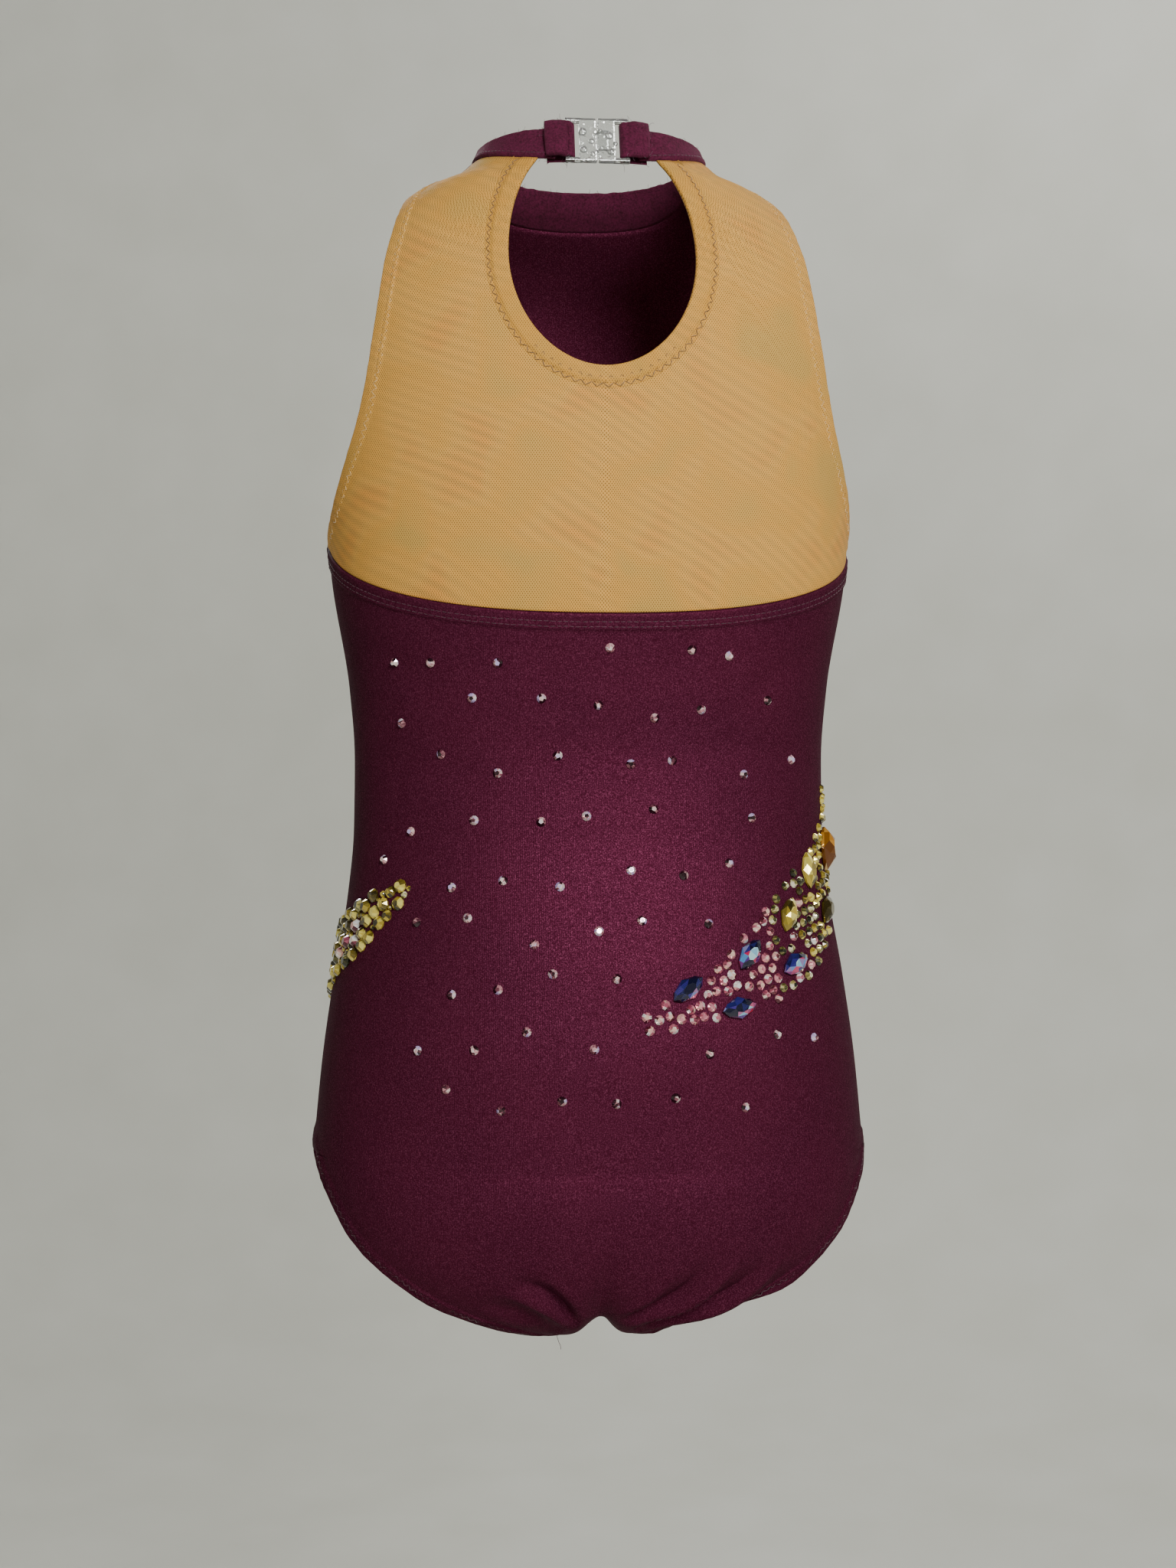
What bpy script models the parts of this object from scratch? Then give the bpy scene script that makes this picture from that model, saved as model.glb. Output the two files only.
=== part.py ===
"""A child's sleeveless rhythmic gymnastics leotard in its worn form, hollow and open.

The cloth is drawn on one smooth form: level rings from the collar down to the hips, then sections
that fan round the seat and the belly to the crotch. Each cut piece is a grid of points on that form,
given its thickness outwards. The back faces -Y and the wearer's right is +X. The origin is the
centre of the neck, level with the bottom of the collar.
"""

import bisect
import math
from collections import namedtuple

import bmesh
import bpy
from mathutils import Matrix, Vector

MM = 0.001  # sizes below are in millimetres and become metres when a mesh is made

# The form, measured to the inside of the cloth
HINGE = -418.0  # level of the hips, where the leg openings start at the side seams
HIP_HALF_WIDTH = 119.8
SQUARENESS = 2.4  # exponent of the oval sections: 2 is an ellipse, more is boxier
QUARTER = 90.0  # degrees of fan from the hips to the crotch, front and back alike

Ring = namedtuple("Ring", "level half_width back front")
RINGS = (
    Ring(21.0, 46.5, 40.0, 36.0),
    Ring(15.0, 48.0, 42.3, 38.5),
    Ring(10.0, 50.5, 44.2, 41.0),
    Ring(2.0, 59.0, 47.3, 45.0),
    Ring(-4.0, 73.0, 51.5, 49.0),
    Ring(-14.0, 87.0, 57.5, 54.0),
    Ring(-24.0, 96.0, 63.0, 58.0),
    Ring(-40.0, 105.0, 70.0, 63.0),
    Ring(-60.0, 110.0, 76.0, 67.0),
    Ring(-90.0, 113.5, 81.0, 70.5),
    Ring(-130.0, 114.2, 82.5, 71.5),
    Ring(-168.0, 112.0, 81.0, 70.5),
    Ring(-219.0, 104.0, 72.5, 66.0),
    Ring(-250.0, 101.8, 69.0, 65.0),
    Ring(-280.0, 102.2, 71.0, 67.0),
    Ring(-310.0, 105.0, 78.0, 70.5),
    Ring(-342.0, 110.5, 84.5, 72.0),
    Ring(-380.0, 116.0, 88.5, 71.0),
    Ring(HINGE, HIP_HALF_WIDTH, 88.0, 69.0),
)

Fan = namedtuple("Fan", "angle reach half_width")
SEAT_FANS = (
    Fan(0.0, 88.0, HIP_HALF_WIDTH),
    Fan(17.0, 91.5, 116.0),
    Fan(28.0, 93.0, 109.0),
    Fan(34.0, 93.5, 104.0),
    Fan(38.0, 93.5, 96.0),
    Fan(42.0, 93.5, 83.0),
    Fan(46.0, 93.0, 69.0),
    Fan(49.0, 92.0, 54.0),
    Fan(53.0, 90.5, 41.0),
    Fan(58.0, 88.0, 30.0),
    Fan(66.0, 84.0, 21.0),
    Fan(78.0, 80.0, 17.5),
    Fan(QUARTER, 78.5, 17.0),
)
LAP_FANS = (
    Fan(0.0, 69.0, HIP_HALF_WIDTH),
    Fan(12.0, 71.0, 108.0),
    Fan(24.0, 73.0, 91.0),
    Fan(36.0, 75.0, 70.0),
    Fan(48.0, 76.5, 50.0),
    Fan(60.0, 77.5, 34.0),
    Fan(74.0, 78.0, 22.0),
    Fan(QUARTER, 78.5, 17.0),
)

ARCH_HEIGHT = 18.0  # the crotch rises into an arch between the legs
ARCH_HALF_WIDTH = 6.5
ARCH_RUN = 42.0  # degrees of fan that the arch reaches before it fades, front and back

# The deepest creases, drawn as seen from behind: each runs in a shallow bow from the crotch outwards
Crease = namedtuple("Crease", "x z end_x end_z bow width depth")
CREASES = (
    Crease(9.0, -482.0, 43.0, -453.0, -5.0, 4.4, 3.2),
    Crease(16.0, -487.0, 66.0, -455.0, -7.0, 5.0, 3.8),
    Crease(24.0, -491.0, 82.0, -458.0, -8.0, 4.0, 2.4),
    Crease(-11.0, -483.0, -38.0, -461.0, -4.0, 4.4, 2.8),
    Crease(-18.0, -488.0, -52.0, -473.0, -3.0, 4.2, 2.4),
    Crease(-2.0, -480.0, 5.0, -448.0, 1.5, 5.0, 2.6),
)
CREASE_FADE = 14.0  # degrees of fan over which they die away towards the crotch seam

# Cloth
LYCRA = 1.2
LYCRA_HEM = 2.0
MESH_CLOTH = 1.0
MESH_HEM = 1.5
BINDING = 1.8
COLLAR = 1.8
SEAM_GAP = 0.3
HEM_WIDTH = 7.0
HEM_SLOPE = 1.0  # width over which a hem drops to the single cloth

# Seam and edge lines. A turn is in degrees round the form, from centre back towards +X.
SIDE = 90.0
BACK_EDGE = SIDE - 0.001  # the side seams as the back and the front reach them
FRONT_EDGE = SIDE + 0.001
SHOULDER_SEAM = 76.0
NECK_BACK = 2.0
NECK_SIDE = 10.0
NECK_FRONT = -5.0
COLLAR_LIFT = 0.5  # the collar stands up from the seam, so its lower edge clears the sloping shoulder
COLLAR_TOP_BACK = 17.3
COLLAR_TOP_SIDE = 15.2
COLLAR_TOP_FRONT = 11.0
BACK_TOP_CENTRE = -190.0
UNDERARM = -156.0

ArmholePoint = namedtuple("ArmholePoint", "level back_turn front_turn")
ARMHOLE = (
    ArmholePoint(-4.0, SHOULDER_SEAM, SHOULDER_SEAM),
    ArmholePoint(-10.0, 71.0, 103.0),
    ArmholePoint(-20.0, 61.0, 116.5),
    ArmholePoint(-36.0, 55.0, 122.0),
    ArmholePoint(-56.0, 53.3, 124.5),
    ArmholePoint(-80.0, 54.0, 124.0),
    ArmholePoint(-104.0, 57.7, 120.5),
    ArmholePoint(-127.0, 66.0, 112.5),
    ArmholePoint(-145.0, 77.0, 101.5),
    ArmholePoint(UNDERARM, SIDE, SIDE),
)

# Keyhole: half an ellipse below its widest line and a taller one above, cut off by the collar
KEYHOLE_HALF_WIDTH = 38.6
KEYHOLE_WIDEST = -42.0
KEYHOLE_BELOW = 48.0
KEYHOLE_ABOVE = 59.0
BINDING_WIDTH = 9.5

# Clasp and the collar ends round it
CLASP_BAR_X = 12.4
CLASP_BAR_RADIUS = 0.9
CLASP_LIFT = 0.9  # from the inside of the collar to the middle of the bars
CLASP_HEIGHT = 21.6
CLASP_PLATE = 2.4
CLASP_SPLIT = 0.35  # from the centre line to either half
CLASP_PLATE_END = 7.6
CLASP_LUG = 1.6
CLASP_LUG_END = 13.6
CLASP_OVERLAP = 1.0  # by which a lug or bar is let into what carries it
CLASP_ROUND = 0.3
CLASP_PLATE_ROUND = 0.5
TONGUE_REACH = 4.6  # past the centre line, over the eye
TONGUE_ROOT = 1.4
TONGUE_RISE = 1.2  # above the plates
TONGUE_SINK = 1.3  # below their outer face
TONGUE_HALF_HEIGHT = 4.4
TONGUE_PLAY = 0.5
LOOP_CLOTH = 1.2
LOOP_END_X = 21.5
LOOP_BOTTOM = 2.4
LOOP_TOP = 19.0
COLLAR_END_X = 15.6

# Large stones: a plain zigzag along one curve down the right hip, in places given by (x, level)
STONE_GAP = 0.3
STONE_SIDES = 8
STONE_GIRDLE = 0.35  # share of a stone's height that is upright
STONE_TABLE = 0.4  # share of its width that is flat on top
STONE_TAPER = 0.45  # share of its width lost at either end
TRAIL_START = (99.0, -289.0)
TRAIL_BEND = (92.0, -330.0)
TRAIL_END = (36.0, -351.0)
TRAIL_SWING = 8.0  # how far the stones lie to either side of the curve
STONE_SEAT_RADIUS = 60.0  # tightest curve of the cloth under them
TRAIL_LEAN = 16.0  # degrees by which they lean out from it, turn about
Cut = namedtuple("Cut", "length width height")
DROP = Cut(19.0, 10.5, 5.5)
LEAF = Cut(15.5, 9.2, 3.4)
NAVY = (0.035, 0.05, 0.22)
GOLD = (0.62, 0.42, 0.08)
AMBER = (0.62, 0.30, 0.05)
Stone = namedtuple("Stone", "name cut colour")
STONES = (
    Stone("drop_stone", DROP, AMBER),
    Stone("leaf_stone_gold_1", LEAF, GOLD),
    Stone("leaf_stone_gold_2", LEAF, GOLD),
    Stone("leaf_stone_gold_3", LEAF, GOLD),
    Stone("leaf_stone_navy_1", LEAF, NAVY),
    Stone("leaf_stone_navy_2", LEAF, NAVY),
    Stone("leaf_stone_navy_3", LEAF, NAVY),
    Stone("leaf_stone_navy_4", LEAF, NAVY),
)

# Grid counts
BACK_COLUMNS = 32
FRONT_COLUMNS = 24
SIDE_ROWS = 16
SEAT_ROWS = 17
LAP_ROWS = 11
CHEST_ROWS = 13
YOKE_ROWS = 7
YOKE_ROW_BOW = 0.65  # bends the rows so that they enter the underarm corner between its edges
YOKE_HEM_COLUMNS = 12
YOKE_ARMHOLE_COLUMNS = 13
YOKE_SHOULDER_COLUMNS = 2
COLLAR_COLUMNS = 40
FINE_STEPS = 48  # samples from which a row's length is measured


class Eased:
    """A smooth curve through one column of a table against its first column, with no overshoot."""

    def __init__(self, table, column):
        rows = sorted(table)
        self.at = [row[0] for row in rows]
        self.values = [getattr(row, column) for row in rows]
        rises = [
            (v2 - v1) / (a2 - a1)
            for a1, a2, v1, v2 in zip(self.at, self.at[1:], self.values, self.values[1:])
        ]
        middle = [
            0.0 if r1 * r2 <= 0 else 2 * r1 * r2 / (r1 + r2) for r1, r2 in zip(rises, rises[1:])
        ]
        self.slopes = [rises[0], *middle, rises[-1]]

    def __call__(self, at):
        at = min(max(at, self.at[0]), self.at[-1])
        i = min(bisect.bisect_right(self.at, at), len(self.at) - 1) - 1
        span = self.at[i + 1] - self.at[i]
        t = (at - self.at[i]) / span
        near = (1 + 2 * t) * (1 - t) ** 2 * self.values[i] + t * (1 - t) ** 2 * span * self.slopes[i]
        far = t * t * (3 - 2 * t) * self.values[i + 1] - t * t * (1 - t) * span * self.slopes[i + 1]
        return near + far


ring_half_width = Eased(RINGS, "half_width")
ring_back = Eased(RINGS, "back")
ring_front = Eased(RINGS, "front")
seat_reach = Eased(SEAT_FANS, "reach")
seat_half_width = Eased(SEAT_FANS, "half_width")
lap_reach = Eased(LAP_FANS, "reach")
lap_half_width = Eased(LAP_FANS, "half_width")
armhole_back = Eased(ARMHOLE, "back_turn")
armhole_front = Eased(ARMHOLE, "front_turn")


def between(a, b, share):
    return a + (b - a) * share


def signed_power(value, exponent):
    return math.copysign(abs(value) ** exponent, value)


def crease_depth(x, z):
    """How far the creases push the cloth in at a place seen from behind."""
    depth = 0.0
    for crease in CREASES:
        run = Vector((crease.end_x - crease.x, crease.end_z - crease.z))
        to_point = Vector((x - crease.x, z - crease.z))
        share = to_point.dot(run) / run.length_squared
        if not 0.0 < share < 1.0:
            continue
        bow = 4 * crease.bow * share * (1 - share)
        off_line = run.cross(to_point) / run.length - bow
        fade = math.sin(math.pi * share ** 0.7)
        depth += crease.depth * fade * math.exp(-((off_line / crease.width) ** 2))
    return depth


def form_point(turn, level):
    """A point on the inside of the cloth. Below the hinge, a level counts degrees of fan."""
    side, facing = math.sin(math.radians(turn)), math.cos(math.radians(turn))
    at_back = facing > 0
    outwards = -1.0 if at_back else 1.0
    across = signed_power(side, 2 / SQUARENESS)
    if level >= HINGE:
        depth = ring_back(level) if at_back else ring_front(level)
        y = outwards * depth * abs(facing) ** (2 / SQUARENESS)
        return Vector((ring_half_width(level) * across, y, level))
    angle = HINGE - level
    reach_at, half_width_at = (
        (seat_reach, seat_half_width) if at_back else (lap_reach, lap_half_width)
    )
    x = half_width_at(angle) * across
    round_off = (1 - abs(x / HIP_HALF_WIDTH) ** SQUARENESS) ** (1 / SQUARENESS)
    reach = reach_at(angle) * round_off
    run = math.exp(-(((QUARTER - angle) / ARCH_RUN) ** 4))
    reach -= ARCH_HEIGHT * run * math.exp(-((x / ARCH_HALF_WIDTH) ** 2))
    down = math.sin(math.radians(angle))
    if at_back:
        fade = min((QUARTER - angle) / CREASE_FADE, 1.0)
        reach -= fade * crease_depth(x, HINGE - reach * down)
    return Vector((x, outwards * reach * math.cos(math.radians(angle)), HINGE - reach * down))


def outward(turn, level):
    """The direction straight out of the cloth."""
    step = 0.2
    round_form = form_point(turn + step, level) - form_point(turn - step, level)
    up_form = form_point(turn, level + step) - form_point(turn, level - step)
    return round_form.cross(up_form).normalized()


def turn_at(x, level):
    """The turn, on the back, of a place that lies x from the centre line."""
    share = min(abs(x) / ring_half_width(level), 1.0)
    return math.copysign(math.degrees(math.asin(share ** (SQUARENESS / 2))), x)


def neck_line(turn, back, side, front):
    end = back if math.cos(math.radians(turn)) > 0 else front
    return between(end, side, math.sin(math.radians(turn)) ** 2)


def neck_seam(turn):
    return neck_line(turn, NECK_BACK, NECK_SIDE, NECK_FRONT)


def collar_top(turn):
    return neck_line(turn, COLLAR_TOP_BACK, COLLAR_TOP_SIDE, COLLAR_TOP_FRONT)


def back_top(turn):
    """The level of the back panel's curved top edge."""
    return between(BACK_TOP_CENTRE, UNDERARM, (turn / SIDE) ** 2)


def keyhole(share, margin):
    """Turn and level on the keyhole's outline, moved out by a margin: 0 is its foot, 1 the collar."""
    above = KEYHOLE_ABOVE + margin
    end = math.acos((KEYHOLE_WIDEST - NECK_BACK) / above)
    angle = end * abs(share)
    height = above if angle > math.pi / 2 else KEYHOLE_BELOW + margin
    x = math.copysign((KEYHOLE_HALF_WIDTH + margin) * math.sin(angle), share)
    level = KEYHOLE_WIDEST - height * math.cos(angle)
    turn = turn_at(x, level)
    if abs(share) == 1:
        level = neck_seam(turn)
    return turn, level


def lengths_along(points):
    total = [0.0]
    for a, b in zip(points, points[1:]):
        total.append(total[-1] + (b - a).length)
    return total


def even_shares(path, count):
    """Shares of a path of (turn, level) that cut it into equal lengths."""
    lengths = lengths_along([form_point(*path(i / FINE_STEPS)) for i in range(FINE_STEPS + 1)])
    shares = [0.0]
    for step in range(1, count):
        wanted = lengths[-1] * step / count
        i = bisect.bisect_right(lengths, wanted) - 1
        shares.append((i + (wanted - lengths[i]) / (lengths[i + 1] - lengths[i])) / FINE_STEPS)
    return shares + [1.0]


def armhole_path(turn_on):
    """The armhole edge as a path, from the underarm up to the shoulder seam."""

    def path(s):
        level = between(UNDERARM, ARMHOLE[0].level, s)
        return turn_on(level), level

    return path


def hem_stops(count, length, first, last):
    """Shares of a length, even but for two close stops where a hem ends, at either end."""
    ends = [0.0, HEM_WIDTH - HEM_SLOPE, HEM_WIDTH]
    start = ends if first else [0.0]
    finish = [length - end for end in reversed(ends)] if last else [length]
    inner = count + 2 - len(start) - len(finish)
    even = [between(start[-1], finish[0], i / inner) for i in range(1, inner)]
    return start + even + finish


def draw_row(path, count, first=True, last=True):
    """Points along a path of (turn, level), spaced by length, with stops for the hems."""
    fine = [form_point(*path(i / FINE_STEPS)) for i in range(FINE_STEPS + 1)]
    lengths = lengths_along(fine)
    row = []
    for stop in hem_stops(count, lengths[-1], first, last):
        i = min(bisect.bisect_right(lengths, stop), FINE_STEPS) - 1
        share = (i + (stop - lengths[i]) / (lengths[i + 1] - lengths[i])) / FINE_STEPS
        row.append(form_point(*path(min(share, 1.0))))
    return row


def draw_in(grid):
    """Moves every edge of a grid in by half a seam gap, so that neighbours lie a gap apart."""
    for line in (*grid, *zip(*grid)):
        for edge, inner in ((0, 1), (-1, -2)):
            step = line[inner] - line[edge]
            line[edge].xyz = line[edge] + step.normalized() * SEAM_GAP / 2


def plain_material(name, colour, roughness, alpha=1.0):
    material = bpy.data.materials.new(name)
    material.use_nodes = True
    shader = material.node_tree.nodes["Principled BSDF"]
    shader.inputs["Base Color"].default_value = (*colour, 1.0)
    shader.inputs["Roughness"].default_value = roughness
    shader.inputs["Metallic"].default_value = 0.0
    shader.inputs["Alpha"].default_value = alpha
    return material


def add_object(name, mesh, material):
    piece = bpy.data.objects.new(name, mesh)
    piece.data.materials.append(material)
    bpy.data.collections["gymnastics_leotard"].objects.link(piece)
    piece.data.shade_smooth()
    return piece


def cloth_piece(name, grid, material, thickness, hem_thickness=None, hemmed=None, offset=1.0):
    """A cut piece: a grid of points made a surface and given its thickness, more on its hems."""
    sheet = bmesh.new()
    rows = [[sheet.verts.new(point * MM) for point in row] for row in grid]
    for upper, lower in zip(rows, rows[1:]):
        for i in range(len(upper) - 1):
            sheet.faces.new((upper[i], lower[i], lower[i + 1], upper[i + 1]))
    mesh = bpy.data.meshes.new(name)
    sheet.to_mesh(mesh)
    sheet.free()
    piece = add_object(name, mesh, material)
    wall = piece.modifiers.new("thickness", "SOLIDIFY")
    wall.thickness = (hem_thickness or thickness) * MM
    wall.offset = offset
    wall.use_even_offset = True
    if hemmed:
        columns = len(grid[0])
        group = piece.vertex_groups.new(name="hem")
        places = [r * columns + c for r in range(len(grid)) for c in range(columns) if hemmed(r, c)]
        group.add(places, 1.0, "REPLACE")
        wall.vertex_group = "hem"
        wall.thickness_vertex_group = thickness / hem_thickness
    return piece


def side_levels():
    """Levels down the side seam, which the front and the back share."""
    hem_end = UNDERARM - HEM_WIDTH
    close = [UNDERARM, hem_end + HEM_SLOPE]
    return close + [between(hem_end, HINGE, i / SIDE_ROWS) for i in range(SIDE_ROWS + 1)]


def fan_levels(count):
    return [HINGE - QUARTER * i / count for i in range(1, count + 1)]


def back_panel(material):
    levels = side_levels()
    grid = []
    for i, level in enumerate(levels):
        share = 0.0 if i < 3 else (level - levels[2]) / (HINGE - levels[2])
        drop = UNDERARM - levels[min(i, 2)]

        def path(s, share=share, drop=drop):
            turn = between(-BACK_EDGE, BACK_EDGE, s)
            return turn, between(back_top(turn) - drop, HINGE, share)

        grid.append(draw_row(path, BACK_COLUMNS))
    for level in fan_levels(SEAT_ROWS):
        grid.append(
            draw_row(lambda s, level=level: (between(-BACK_EDGE, BACK_EDGE, s), level), BACK_COLUMNS)
        )
    draw_in(grid)
    hip = len(levels) - 1

    def hemmed(row, column):
        at_leg = row >= hip and (column < 2 or column > BACK_COLUMNS - 2)
        return row < 2 or at_leg

    return cloth_piece("back_panel", grid, material, LYCRA, LYCRA_HEM, hemmed)


def front_panel(material):
    grid = []
    chest = UNDERARM + SEAM_GAP
    shoulder = [(SHOULDER_SEAM, between(NECK_SIDE, ARMHOLE[0].level, i / 2)) for i in range(2)]
    armhole = armhole_path(armhole_front)
    shares = even_shares(armhole, CHEST_ROWS)
    for edge, edge_level in shoulder + [armhole(share) for share in reversed(shares[1:])]:
        sink = (NECK_SIDE - edge_level) / (NECK_SIDE - chest)

        def path(s, edge=edge, sink=sink):
            turn = between(edge, 360.0 - edge, s)
            return turn, between(neck_seam(turn), chest, sink)

        grid.append(draw_row(path, FRONT_COLUMNS))
    below = side_levels()
    for level in below + fan_levels(LAP_ROWS):
        grid.append(
            draw_row(lambda s, level=level: (between(FRONT_EDGE, 360.0 - FRONT_EDGE, s), level), FRONT_COLUMNS)
        )
    draw_in(grid)
    underarm = len(shoulder) + CHEST_ROWS
    hip = underarm + len(below) - 1

    def hemmed(row, column):
        at_edge = column < 2 or column > FRONT_COLUMNS - 2
        return at_edge and (len(shoulder) <= row <= underarm or row >= hip)

    return cloth_piece("front_panel", grid, material, LYCRA, LYCRA_HEM, hemmed)


def yoke_edge():
    """Places round half of the yoke's outer edge, from centre back to where shoulder meets collar."""

    def hem(s):
        return BACK_EDGE * s, back_top(BACK_EDGE * s) + SEAM_GAP / 2

    def shoulder(s):
        return SHOULDER_SEAM, between(ARMHOLE[0].level, neck_seam(SHOULDER_SEAM), s)

    places = [(0.0, BACK_TOP_CENTRE)]
    for path, count in (
        (hem, YOKE_HEM_COLUMNS),
        (armhole_path(armhole_back), YOKE_ARMHOLE_COLUMNS),
        (shoulder, YOKE_SHOULDER_COLUMNS),
    ):
        places += [path(share) for share in even_shares(path, count)[1:]]
    return places


def back_yoke(material):
    edge = yoke_edge()
    half = len(edge) - 1
    grid = []
    for column in range(-half, half + 1):
        inner = keyhole(column / half, BINDING_WIDTH)
        outer = (math.copysign(edge[abs(column)][0], column), edge[abs(column)][1])

        def path(s, inner=inner, outer=outer, top=abs(column) == half):
            turn = between(inner[0], outer[0], s)
            fall = s + YOKE_ROW_BOW * s * (1 - s)
            return turn, neck_seam(turn) if top else between(inner[1], outer[1], fall)

        grid.append(draw_row(path, YOKE_ROWS, first=False))
    draw_in(grid)
    grid.reverse()
    columns = len(grid)
    first = YOKE_SHOULDER_COLUMNS
    last = first + YOKE_ARMHOLE_COLUMNS

    def hemmed(row, column):
        from_end = min(row, columns - 1 - row)
        return first <= from_end < last and column > YOKE_ROWS - 2

    return cloth_piece("back_yoke", grid, material, MESH_CLOTH, MESH_HEM, hemmed)


def keyhole_binding(material):
    half = YOKE_HEM_COLUMNS + YOKE_ARMHOLE_COLUMNS + YOKE_SHOULDER_COLUMNS
    bands = 2
    grid = []
    for column in range(-half, half + 1):
        row = [form_point(*keyhole(column / half, BINDING_WIDTH * i / bands)) for i in range(bands + 1)]
        grid.append(row)
    draw_in(grid)
    grid.reverse()
    return cloth_piece("keyhole_binding", grid, material, BINDING)


def collar_band(material):
    """The stand collar, from one side of the clasp round the front to the other."""
    heights = 3
    end_level = between(NECK_BACK, COLLAR_TOP_BACK, 0.5)
    end_turn = turn_at(COLLAR_END_X, end_level)
    grid = []
    for i in range(heights + 1):
        def path(s, share=i / heights):
            turn = between(end_turn, 360.0 - end_turn, s)
            return turn, between(neck_seam(turn) + COLLAR_LIFT, collar_top(turn), share)

        grid.append(draw_row(path, COLLAR_COLUMNS, first=False, last=False))
    draw_in(grid)
    grid.reverse()
    return cloth_piece("collar_band", grid, material, COLLAR)


def collar_loop(name, side, material):
    """A collar end folded round its clasp bar: out over the bar, round it and back inside."""
    bend_steps = 6
    radius = CLASP_BAR_RADIUS + SEAM_GAP + LOOP_CLOTH / 2
    outline = [(LOOP_END_X, CLASP_LIFT + radius), (between(LOOP_END_X, CLASP_BAR_X, 0.5), CLASP_LIFT + radius)]
    for i in range(bend_steps + 1):
        angle = math.pi * i / bend_steps
        outline.append((CLASP_BAR_X - radius * math.sin(angle), CLASP_LIFT + radius * math.cos(angle)))
    outline.append((between(LOOP_END_X, CLASP_BAR_X, 0.5), CLASP_LIFT - radius))
    outline.append((LOOP_END_X, CLASP_LIFT - radius))
    heights = 3
    grid = []
    for x, out in outline:
        row = []
        for i in range(heights + 1):
            level = between(LOOP_TOP, LOOP_BOTTOM, i / heights)
            turn = turn_at(side * x, level)
            row.append(form_point(turn, level) + outward(turn, level) * out)
        grid.append(row)
    if side > 0:
        grid.reverse()
    return cloth_piece(name, grid, material, LOOP_CLOTH, offset=0.0)


def clasp_frame():
    """Place and lean of the clasp, on the line through its bars."""
    ends = []
    for level in (LOOP_BOTTOM, LOOP_TOP):
        turn = turn_at(CLASP_BAR_X, level)
        ends.append(form_point(turn, level) + outward(turn, level) * CLASP_LIFT)
    lean = math.atan2(ends[1].y - ends[0].y, ends[1].z - ends[0].z)
    middle = (ends[0] + ends[1]) / 2
    return Matrix.Translation(Vector((0.0, middle.y, middle.z)) * MM) @ Matrix.Rotation(-lean, 4, "X")


def box_at(sheet, low, high):
    """A box in millimetres between two corners, added to a bmesh."""
    size = Vector(high) - Vector(low)
    made = bmesh.ops.create_cube(sheet, size=1.0)["verts"]
    bmesh.ops.scale(sheet, vec=size * MM, verts=made)
    bmesh.ops.translate(sheet, vec=(Vector(low) + size / 2) * MM, verts=made)


def solid_box(name, low, high, bevel):
    """A plain box with rounded edges, kept apart as a cutter or as one half of a join."""
    sheet = bmesh.new()
    box_at(sheet, low, high)
    bmesh.ops.bevel(
        sheet, geom=sheet.edges[:], offset=bevel * MM, segments=2, profile=0.5, affect="EDGES"
    )
    mesh = bpy.data.meshes.new(name)
    sheet.to_mesh(mesh)
    sheet.free()
    return mesh


def add_cutter(name, mesh):
    cutter = bpy.data.objects.new(name, mesh)
    bpy.data.collections["leotard_cutters"].objects.link(cutter)
    cutter.hide_render = True
    cutter.display_type = "WIRE"
    return cutter


def join(piece, other, operation):
    boolean = piece.modifiers.new(other.name, "BOOLEAN")
    boolean.object = other
    boolean.operation = operation


def clasp_bar(name, x, half_height):
    """The round bar that a collar end is folded over."""
    sheet = bmesh.new()
    bmesh.ops.create_cone(
        sheet,
        cap_ends=True,
        segments=12,
        radius1=CLASP_BAR_RADIUS * MM,
        radius2=CLASP_BAR_RADIUS * MM,
        depth=2 * half_height * MM,
        matrix=Matrix.Translation((x * MM, 0.0, 0.0)),
    )
    mesh = bpy.data.meshes.new(name)
    sheet.to_mesh(mesh)
    sheet.free()
    return mesh


def clasp_half(name, side, material, frame):
    """One half of the clasp: a plate, two lugs that carry its bar, and a hook or the eye it enters."""
    half_height = CLASP_HEIGHT / 2
    lug_root = CLASP_PLATE_END - CLASP_OVERLAP
    face = CLASP_PLATE / 2
    bar_half_height = half_height - CLASP_LUG + CLASP_OVERLAP / 2

    def box(label, x1, x2, y1, y2, z1, z2, bevel=CLASP_ROUND):
        xs = sorted((side * x1, side * x2))
        return solid_box(f"{name}_{label}", (xs[0], y1, z1), (xs[1], y2, z2), bevel)

    plate = box(
        "plate", CLASP_SPLIT, CLASP_PLATE_END, -face, face, -half_height, half_height, CLASP_PLATE_ROUND
    )
    piece = add_object(name, plate, material)
    piece.matrix_world = frame
    extras = [
        box("top_lug", lug_root, CLASP_LUG_END, -face, face, half_height - CLASP_LUG, half_height),
        box("bottom_lug", lug_root, CLASP_LUG_END, -face, face, -half_height, CLASP_LUG - half_height),
        clasp_bar(f"{name}_bar", side * CLASP_BAR_X, bar_half_height),
    ]
    tongue = (face - TONGUE_SINK, face + TONGUE_RISE, -TONGUE_HALF_HEIGHT, TONGUE_HALF_HEIGHT)
    if side < 0:
        extras.append(box("tongue", -TONGUE_REACH, TONGUE_ROOT, *tongue))
    for mesh in extras:
        other = add_cutter(mesh.name, mesh)
        other.matrix_world = frame
        join(piece, other, "UNION")
    if side > 0:
        bottom, top, low, high = tongue
        room = (bottom - TONGUE_PLAY, top + TONGUE_PLAY, low - TONGUE_PLAY, high + TONGUE_PLAY)
        mesh = box("tongue_room", -TONGUE_ROOT, TONGUE_REACH + TONGUE_PLAY, *room)
        cutter = add_cutter(mesh.name, mesh)
        cutter.matrix_world = frame
        join(piece, cutter, "DIFFERENCE")
    return piece


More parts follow.
